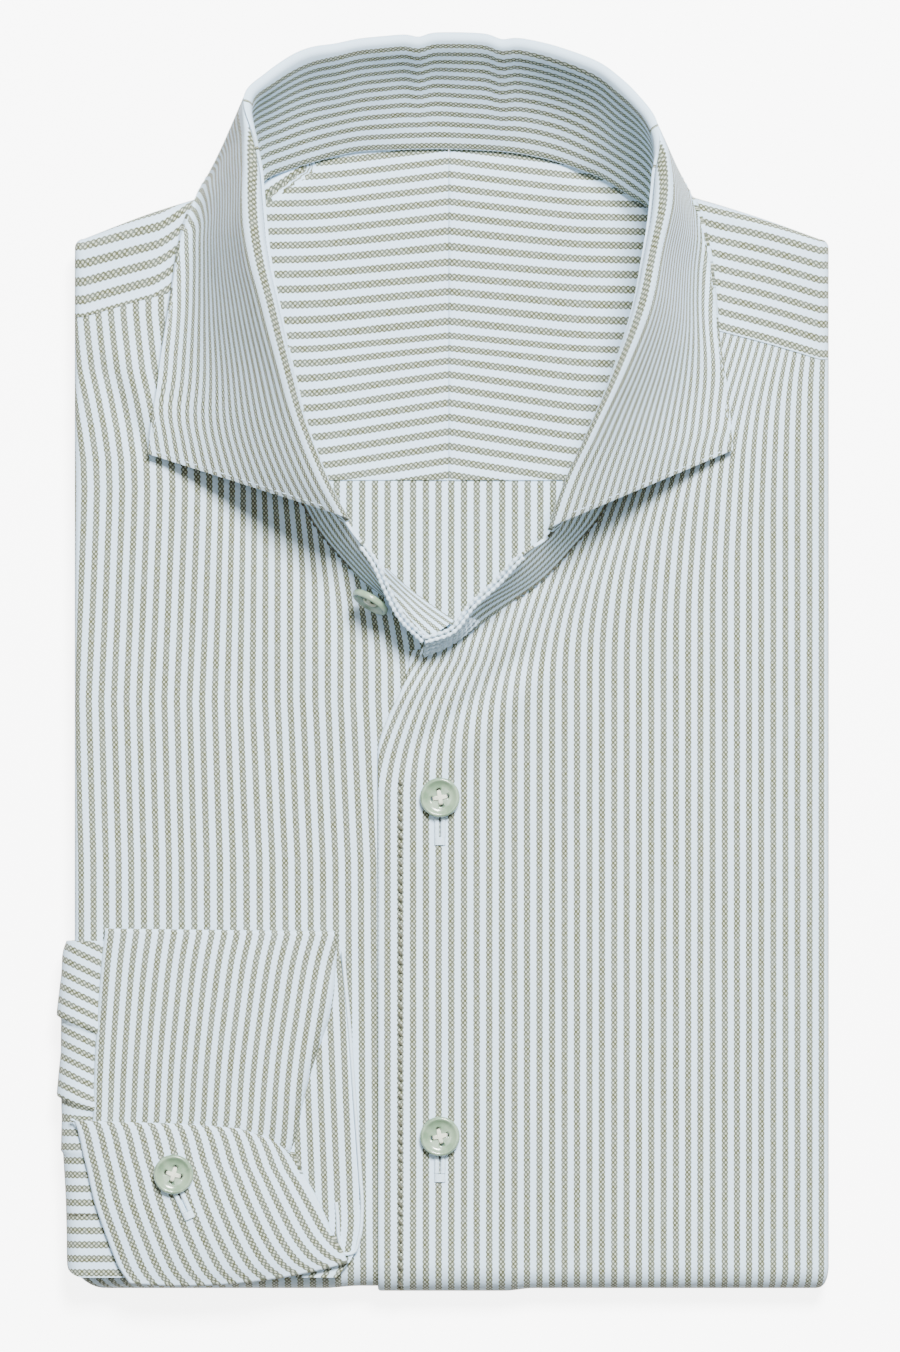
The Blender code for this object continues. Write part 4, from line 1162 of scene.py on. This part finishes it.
def layers():
    """Outlines and heights of the stacked layers, from the underside up."""
    fold_left, fold_right = SIDE_LEFT + 1.4, SIDE_RIGHT - 1.4
    ledge_left, ledge_right = SIDE_LEFT + 1.6, SIDE_RIGHT - 1.6
    root = SIDE_LEFT + 15.5
    hem = HEM_EDGE - 1
    top = CORE_HIGH - 0.2
    ledge = ((root, TURN_LINE), (ledge_right, TURN_LINE), (ledge_right, 84.0), (80.0, 96.0),
             (ledge_left, 96.0), (ledge_left, -70.0), (root, -70.0))
    shoulder = ((fold_left, 97.6), (0.0, 96.0), (fold_right, 86.2), (fold_right, 114.2),
                *NECK_EDGE, (fold_left, 114.2))
    made = [
        Layer(box_outline(fold_left, DIP_START - 3, TURN_LINE, hem), CORE_LOW, 3.6, 0.0),
        Layer(box_outline(LEFT_FRONT_EDGE + 3, fold_right, TURN_LINE, hem), CORE_LOW, 3.6, 0.0),
        Layer(box_outline(fold_left, -69.0, TURN_LINE, 113.0), top - 2.0, top, 0.0),
        Layer(box_outline(70.0, fold_right, TURN_LINE, 113.0), top - 2.0, top, 0.0),
        Layer(box_outline(-86.0, 90.0, TURN_LINE, 97.0), 3.0, CORE_UNDER_BACK, 0.0),
        Layer(box_outline(-86.0, 90.0, TURN_LINE + 1, -22.0), CORE_UNDER_BACK, top, 0.0),
    ]
    for outline, lowest, step, thick, insets in ((ledge, 5.25, 0.62, 0.6, (0.0, 0.9, 0.3, 1.3)),
                                                 (shoulder, 6.85, 0.76, 0.73, (0.9, 0.0, 0.7, 0.2))):
        for k, inset in enumerate(insets):
            low = lowest + step * k
            made.append(Layer(outline, low, low + thick, inset))
    return made


def dense_outline(outline, step, inset, seed):
    """The outline with more points, set in, and waved a little along its length."""
    loop = np.array(outline + outline[:1], float)
    at = lengths(loop)
    places = evenly(0, at[-1], step)[:-1]
    points = along_line(at, loop, places)
    ahead = np.roll(points, -2, axis=0) - np.roll(points, 2, axis=0)
    inward = unit(np.stack((-ahead[:, 1], ahead[:, 0]), axis=-1))
    wave = 0.25 * np.sin(places / 13.0 + seed) + 0.15 * np.sin(places / 5.1 + 2.0 * seed)
    return points + inward * (inset + np.clip(wave, 0, 1)[:, None]), inward


def folded_layers():
    mesh = bpy.data.meshes.new("folded_layers")
    edit = bmesh.new()
    uv = edit.loops.layers.uv.new("Cloth")
    for number, layer in enumerate(layers()):
        points, inward = dense_outline(layer.outline, 4.0, layer.inset, number)
        half = (layer.high - layer.low) / 2
        rounding = min(half, 0.8)
        rings = []
        for angle in np.radians(np.linspace(-90, 90, 7)):
            level = (layer.high + layer.low) / 2 + half * math.sin(angle)
            ring = points + inward * rounding * (1 - math.cos(angle))
            rings.append([edit.verts.new((x * MM, y * MM, level * MM)) for x, y in ring])
        for lower, upper in zip(rings, rings[1:]):
            for j in range(len(lower)):
                after = (j + 1) % len(lower)
                edit.faces.new((lower[j], lower[after], upper[after], upper[j]))
        edit.faces.new(rings[-1])
        edit.faces.new(rings[0][::-1])
    for face in edit.faces:
        for loop in face.loops:
            place = loop.vert.co / MM
            loop[uv].uv = ((place.x + place.z) / PITCH, (place.y + place.z) / PITCH)
    edit.to_mesh(mesh)
    edit.free()
    piece = settle(new_piece("folded_layers_cloth", mesh, SHIRTING), ["folded_layers"])


# Buttons

BUTTON_RADIUS = 5.55
BUTTON_SIDES = 48
# Share of the radius and height in millimetres, from the middle of the front to the back
BUTTON_PROFILE = ((0.0, 1.45), (0.55, 1.45), (0.68, 1.55), (0.78, 1.95), (0.84, 2.2), (0.90, 2.25),
                  (0.95, 2.1), (0.985, 1.7), (1.0, 1.2), (0.97, 0.6), (0.85, 0.25), (0.6, 0.05), (0.0, 0.0))
HOLES = 4
HOLE_RADIUS = 0.66
HOLE_REACH = 2.0
THREAD_RADIUS = 0.26


def turned_mesh(name, profile, sides):
    """A mesh turned round Z from a profile of (radius, height) in millimetres."""
    mesh = bpy.data.meshes.new(name)
    edit = bmesh.new()
    rings = []
    for r, h in profile:
        turns = [math.tau * k / sides for k in range(sides if r else 1)]
        rings.append([edit.verts.new((r * math.cos(a) * MM, r * math.sin(a) * MM, h * MM)) for a in turns])
    for one, two in zip(rings, rings[1:]):
        for k in range(sides):
            after = (k + 1) % sides
            ring = [one[k % len(one)], two[k % len(two)], two[after % len(two)], one[after % len(one)]]
            edit.faces.new(list(dict.fromkeys(ring)))
    edit.to_mesh(mesh)
    edit.free()
    return mesh


def button(name, centre, facing, spin):
    """A four-holed pearly button with crossed thread."""
    profile = [(r * BUTTON_RADIUS, h) for r, h in BUTTON_PROFILE]
    piece = new_piece(name + "_pearl", turned_mesh(name, profile, BUTTON_SIDES), PEARL)
    cutter_mesh = bpy.data.meshes.new("holes")
    edit = bmesh.new()
    for k in range(HOLES):
        angle = math.tau * k / HOLES
        made = bmesh.ops.create_cone(edit, cap_ends=True, segments=14, radius1=HOLE_RADIUS * MM,
                                     radius2=HOLE_RADIUS * MM, depth=6 * MM)
        shift = Vector((math.cos(angle), math.sin(angle), 0)) * HOLE_REACH * MM
        bmesh.ops.translate(edit, verts=made["verts"], vec=shift)
    edit.to_mesh(cutter_mesh)
    edit.free()
    cutter = placed("holes", cutter_mesh)
    cut = piece.modifiers.new("holes", "BOOLEAN")
    cut.operation = "DIFFERENCE"
    cut.object = cutter
    bpy.context.view_layer.update()
    holed = bpy.data.meshes.new_from_object(piece.evaluated_get(bpy.context.evaluated_depsgraph_get()))
    piece.modifiers.clear()
    piece.data = holed
    bpy.data.objects.remove(cutter)
    matrix = Vector(facing).to_track_quat("Z", "Y").to_matrix() @ Matrix.Rotation(spin, 3, "Z")
    piece.location = Vector(centre) * MM
    piece.rotation_mode = "QUATERNION"
    piece.rotation_quaternion = matrix.to_quaternion()
    settle(piece, [name])
    strands = []
    for axis in ((1, 0), (0, 1)):
        for offset in (-0.42, 0.0, 0.42):
            line = []
            for t in np.linspace(-1, 1, 13):
                lift = 1.3 + 0.5 * (1 - t * t) ** 0.5 - 0.3 * (abs(t) > 0.95)
                gather = offset * (1 - 0.35 * abs(t))
                place = Vector((axis[0] * t * HOLE_REACH + axis[1] * gather,
                                axis[1] * t * HOLE_REACH + axis[0] * gather,
                                lift + (0.12 if axis[0] else 0.0)))
                line.append(matrix @ place + Vector(centre))
            strands.append(np.array([tuple(p) for p in line]))
    sewing = tubes(name.replace("button", "button_thread"), strands, THREAD_RADIUS, material=CREAM_THREAD)
    settle(sewing)


# Sewing

LUMP_PITCH = 1.8


def tubes(name, lines, radius, sides=6, taper=False, material=PALE_THREAD, lumps=0.0):
    """Thin round threads along lines of points, joined in one mesh, evenly swollen by the lumps."""
    verts, faces = [], []
    for line in lines:
        along = unit(np.gradient(line, axis=0))
        guide = np.where(np.abs(along[:, 2:3]) < 0.9, (0.0, 0.0, 1.0), (1.0, 0.0, 0.0))
        side = unit(np.cross(along, guide))
        up = np.cross(side, along)
        share = np.linspace(0, 1, len(line))
        size = radius * (1 + lumps * np.sin(lengths(line) * math.tau / LUMP_PITCH))
        if taper:
            size = size * np.sqrt(np.clip(1 - (2 * share - 1) ** 4, 0.12, 1))
        start = len(verts)
        for k, place in enumerate(line):
            for j in range(sides):
                angle = math.tau * j / sides
                around = side[k] * math.cos(angle) + up[k] * math.sin(angle)
                verts.append((place + size[k] * around) * MM)
        for k in range(len(line) - 1):
            for j in range(sides):
                a, b = start + k * sides + j, start + k * sides + (j + 1) % sides
                faces.append((a, b, b + sides, a + sides))
        faces.append(tuple(start + j for j in range(sides))[::-1])
        faces.append(tuple(start + (len(line) - 1) * sides + j for j in range(sides)))
    mesh = bpy.data.meshes.new(name)
    mesh.from_pydata([tuple(v) for v in verts], [], faces)
    return new_piece(name, mesh, material)


def read(sheet, rows, columns):
    """Points and outward normals of a sheet at fractional rows and columns."""
    facing = normals(sheet.points) * sheet.faces_out
    i = np.clip(rows.astype(int), 0, sheet.points.shape[0] - 2)
    j = np.clip(columns.astype(int), 0, sheet.points.shape[1] - 2)
    a, b = (rows - i)[:, None], (columns - j)[:, None]

    def at(part):
        return lerp(lerp(part[i, j], part[i + 1, j], a), lerp(part[i, j + 1], part[i + 1, j + 1], a), b)

    return at(sheet.points), unit(at(facing))


def stitches(name, sheet, paths, length=1.9, pitch=2.5, radius=0.17, material=PALE_THREAD, slant=0.0):
    """Running stitches along paths given as (rows, columns) on a sheet."""
    lines = []
    for rows, columns in paths:
        rows, columns = np.broadcast_arrays(np.asarray(rows, float), np.asarray(columns, float))
        points, facing = read(sheet, rows, columns)
        at = lengths(points)
        for start in np.arange(0.4, at[-1] - length, pitch):
            t = np.linspace(0, 1, 5)
            places = start + t * length
            line, up = along_line(at, points, places), along_line(at, facing, places)
            side = np.cross(up, unit(line[-1:] - line[:1]))
            arch = up * (radius * np.sin(math.pi * t) - 0.05)[:, None]
            lines.append(line + arch + side * slant * (2 * t[:, None] - 1))
    settle(tubes(name, lines, radius, taper=True, material=material))


def surface(sheet, x, y):
    """The sheet's highest point near a place of the plan."""
    near = np.hypot(sheet.points[..., 0] - x, sheet.points[..., 1] - y)
    return float(sheet.points[..., 2][near < near.min() + 1.0].max())


def on_sheet(sheet, places, lift):
    """A smooth line through places of the plan, lying on a sheet."""
    knots = np.array([(x, y, surface(sheet, x, y) + lift) for x, y in places])
    at = lengths(knots)
    return spline(knots, at, evenly(0, at[-1], 0.5))


# Loops along a buttonhole's edges and across its end, and over how much of its length the painted shade of
# its open slit lies
HOLE_PITCH, BAR_PITCH, BAR_LOOPS = 0.34, 0.3, 7
SLIT_SHARE = 0.4


def buttonhole(name, sheet, start, end):
    """A worked buttonhole: a slit with thread sewn over both its edges and across its end; the slit's opening
    is a dark tube of painted shade.
    """
    line = on_sheet(sheet, (start, ((start[0] + end[0]) / 2, (start[1] + end[1]) / 2), end), 0.0)
    along = unit(line[-1] - line[0])
    side = np.array((-along[1], along[0], 0.0))
    up = np.array((0.0, 0.0, 1.0))
    length = float(np.linalg.norm(line[-1] - line[0]))
    loops = []
    t = np.linspace(0, 1, 5)[:, None]
    for k in range(int(length / HOLE_PITCH)):
        for sign in (-1, 1):
            arc = side * sign * (0.25 + 1.25 * t) + up * (0.15 + 0.25 * np.sin(math.pi * t))
            loops.append(line[0] + along * HOLE_PITCH * k + arc)
    t = np.linspace(-1, 1, 7)[:, None]
    for k in range(BAR_LOOPS):
        loops.append(line[-1] + along * BAR_PITCH * k + side * 1.5 * t + up * (0.15 + 0.3 * (1 - t * t)))
    settle(tubes(name, loops, 0.22))
    # The open slit: a dark tube of painted shade lying on the cloth
    t = np.linspace(0, 1, 9)[:, None]
    slit = line[0] + along * length * SLIT_SHARE * t + up * 0.22
    settle(tubes(name + "_slit", [slit], 0.34, taper=True, material=SLIT_SHADE))


# Floor and light

Lamp = namedtuple("Lamp", "name place size power")

LAMPS = named(Lamp, (
    ("key", (0.5, 1.75, 2.85), 0.9, 415.0),
    ("fill", (-0.2, 0.1, 3.4), 1.1, 30.0),
))
FLOOR_GLOW = 5.5
WORLD_COLOUR, WORLD_LIGHT = (1.0, 1.0, 0.86, 1.0), 0.2


def studio():
    floor_mesh = bpy.data.meshes.new("floor")
    edit = bmesh.new()
    bmesh.ops.create_grid(edit, x_segments=1, y_segments=1, size=4.0)
    edit.to_mesh(floor_mesh)
    edit.free()
    graph = Graph("floor", 0.9)
    graph.shader.inputs["Emission Color"].default_value = (1.0, 1.0, 1.0, 1.0)
    graph.shader.inputs["Emission Strength"].default_value = FLOOR_GLOW
    graph.finish(graph.mix(graph.noise(3.0), (0.90, 0.90, 0.90, 1.0), (0.92, 0.92, 0.92, 1.0)))
    floor_mesh.materials.append(graph.material)
    floor = placed("floor", floor_mesh)
    floor.visible_diffuse = False
    world = bpy.data.worlds.new("studio")
    world.use_nodes = True
    background = world.node_tree.nodes["Background"]
    background.inputs["Color"].default_value = WORLD_COLOUR
    background.inputs["Strength"].default_value = WORLD_LIGHT
    bpy.context.scene.world = world
    for lamp in LAMPS:
        light = bpy.data.lights.new(lamp.name, "AREA")
        light.size = lamp.size
        light.energy = lamp.power
        made = placed(lamp.name, light)
        made.location = lamp.place
        made.rotation_euler = (-Vector(lamp.place)).to_track_quat("-Z", "Y").to_euler()


def camera():
    data = bpy.data.cameras.new("camera")
    data.sensor_width = 36.0
    data.lens = data.sensor_width * CAMERA_HEIGHT / (IMAGE_HEIGHT * PIXEL)
    data.clip_end = 10.0
    made = placed("camera", data)
    right, down = IMAGE_WIDTH / 2 - ORIGIN_PIXEL[0], IMAGE_HEIGHT / 2 - ORIGIN_PIXEL[1]
    made.location = (right * PIXEL, -down * PIXEL, CAMERA_HEIGHT)
    bpy.context.scene.camera = made


def sew_rows():
    """The rows of stitches."""
    down = np.arange(44, 216, 0.5)
    # The front's, the strip's and the neck's rows use the thread darkened with painted pucker shade
    stitches("stitching_front", right, [(down, 8.2)], 1.5, 2.5, 0.42, PUCKER_SHADE_THREAD, 0.45)
    stitches("stitching_strip", under, [(95.0, np.arange(56.0, 68.0, 0.5))], 1.2, 1.7, 0.3, PUCKER_SHADE_THREAD)
    around = np.arange(26, len(stand.points) - 26, 0.5)
    stitches("stitching_neck", stand, [(around, 1.6)], 1.6, 2.2, 0.3, PUCKER_SHADE_THREAD)
    rows, columns = leaf.points.shape[:2]
    along = np.arange(1, rows - 1, 0.5)
    down = np.arange(16, columns - 2, 0.5)
    paths = [(along, columns - 1.9), (1.1, down), (rows - 2.1, down)]
    stitches("stitching_leaf", leaf, paths, 1.5, 2.3, 0.13)


# Rows of the stand along its left and right ends
LEFT_END, RIGHT_END = slice(0, 38), slice(-47, None)
CORD_RADIUS, CORD_LUMPS = 0.52, 0.28
CORD_STEP = 0.3
CORD_COLUMNS = (27.0, 21.0, 15.0, 9.0)


def band_edges():
    """Rolled edges of the band's two ends, with their lumpy sewing."""
    edges = []
    for part in (LEFT_END, RIGHT_END):
        edge = stand.points[part, STAND_STEPS - 1] + np.array((0.0, 0.0, 0.45))
        at = lengths(edge)
        edge = along_line(at, edge, evenly(0, at[-1], CORD_STEP))
        ahead = unit(np.gradient(edge, axis=0) * (1.0, 1.0, 0.0))
        out = grid(-ahead[:, 1], ahead[:, 0], 0.0)
        edges += [edge + out * 0.62, edge - out * 0.62]
    for place in CORD_COLUMNS:
        rows = len(stand.points) - 1 - np.arange(0.0, 17.0, CORD_STEP)
        cord, out = read(stand, rows, np.full(len(rows), place))
        edges.append(cord + out * 0.45)
    settle(tubes("band_edges", edges, CORD_RADIUS, 8, lumps=CORD_LUMPS))
    stitches("stitching_band", stand, [(np.arange(0, 16, 0.5), 31.0)], 1.5, 2.0, 0.4, PALE_THREAD, 0.5)


# The inner face of the left band's end, turned up to the right: its top and low edges
PLY_TOP = ((-17.9, 25.8, 30.6), (-14.6, 17.4, 27.6), (-9.8, 11.6, 25.0), (-3.6, 7.9, 22.4))
PLY_LOW = ((-16.4, 26.6, 26.0), (-10.0, 21.0, 16.6), (-4.0, 16.6, 15.2), (2.5, 12.2, 15.4))
PLY_PITCH = 2.7
PLY_WALL = 0.5


def band_ply():
    places = np.linspace(0, len(PLY_TOP) - 1, 34)
    top, low = (spline(rows, np.arange(len(rows)), places) for rows in (PLY_TOP, PLY_LOW))
    t = np.linspace(0, 1, 18)[None, :, None]
    points = lerp(low[:, None], top[:, None], t)
    points[..., 2] += 1.2 * np.sin(math.pi * t[..., 0])
    across = PITCH * (lengths(points.transpose(1, 0, 2)).T / PLY_PITCH + 0.5)
    cloth("band_ply", points, across, lengths(points), PLY_WALL, own_node=False)


# The sleeve's under layer: its light edge, ending in the rolled cuff end
UNDER_EDGE = ((-28.8, -80), (-27, -100), (-25.4, -122), (-24, -141), (-23.4, -152), (-24.2, -160),
              (-25.8, -164), (-28.2, -164.4), (-29.6, -161), (-30.2, -154), (-30.6, -150))
UNDER_EDGE_RADIUS = 0.5

BUTTON_Z = BODY_HEIGHT + LAP + GAP

camera()
studio()
front("front_left", LEFT_COLUMNS, (SIDE_LEFT, 97.0), -1, CORNER_LEFT, (no_lap, dip_under),
      left_stripes, LEFT_CREASES)
right = front("front_right", RIGHT_COLUMNS, (SIDE_RIGHT, 85.2), 1, CORNER_RIGHT, (raise_over, no_lap),
              right_stripes, RIGHT_CREASES)
outer_yoke("yoke_outer_left", LEFT_YOKE, SIDE_LEFT, -1, seam_y=97.3, ridge_y=118.7, pitch=5.05, phase=0.55,
           bow=6.0, bow_start=82.5, bow_width=11.0)
outer_yoke("yoke_outer_right", RIGHT_YOKE, SIDE_RIGHT, 1, seam_y=85.5, ridge_y=118.6, pitch=4.12, phase=0.12,
           bow=0.9, bow_start=80.0, bow_width=18.0)
inner_yoke("yoke_inner_left", -66.0, CENTRE_SEAM)
inner_yoke("yoke_inner_right", CENTRE_SEAM, 67.0)
back_panel()
folded_layers()
stand, leaf = collar()
under = sleeve_under()
sleeve_upper()
barrel = cuff()
button("button_front_1", (-1.7, -37.2, BUTTON_Z + 0.9), (0, 0, 1), 1.75)
button("button_front_2", (-1.7, -131.6, BUTTON_Z), (0, 0, 1), 1.8)
button("button_cuff", (-75.8, -142.0, CUFF_TOP + CUFF_DOME - 0.05), (0, 0, 1), 1.3)
button("button_collar", (-20.42, 18.25, 23.45), (-0.5, -0.82, 0.25), 0.4)
buttonhole("buttonhole_1", right, (-1.7, -41.0), (-1.7, -48.5))
buttonhole("buttonhole_2", right, (-1.7, -135.4), (-1.7, -142.4))
buttonhole("buttonhole_cuff", barrel, (-74.7, -146.6), (-72.0, -152.6))
sew_rows()
band_edges()
band_ply()
settle(tubes("under_edge", [on_sheet(under, UNDER_EDGE, 0.25)], UNDER_EDGE_RADIUS, 8))
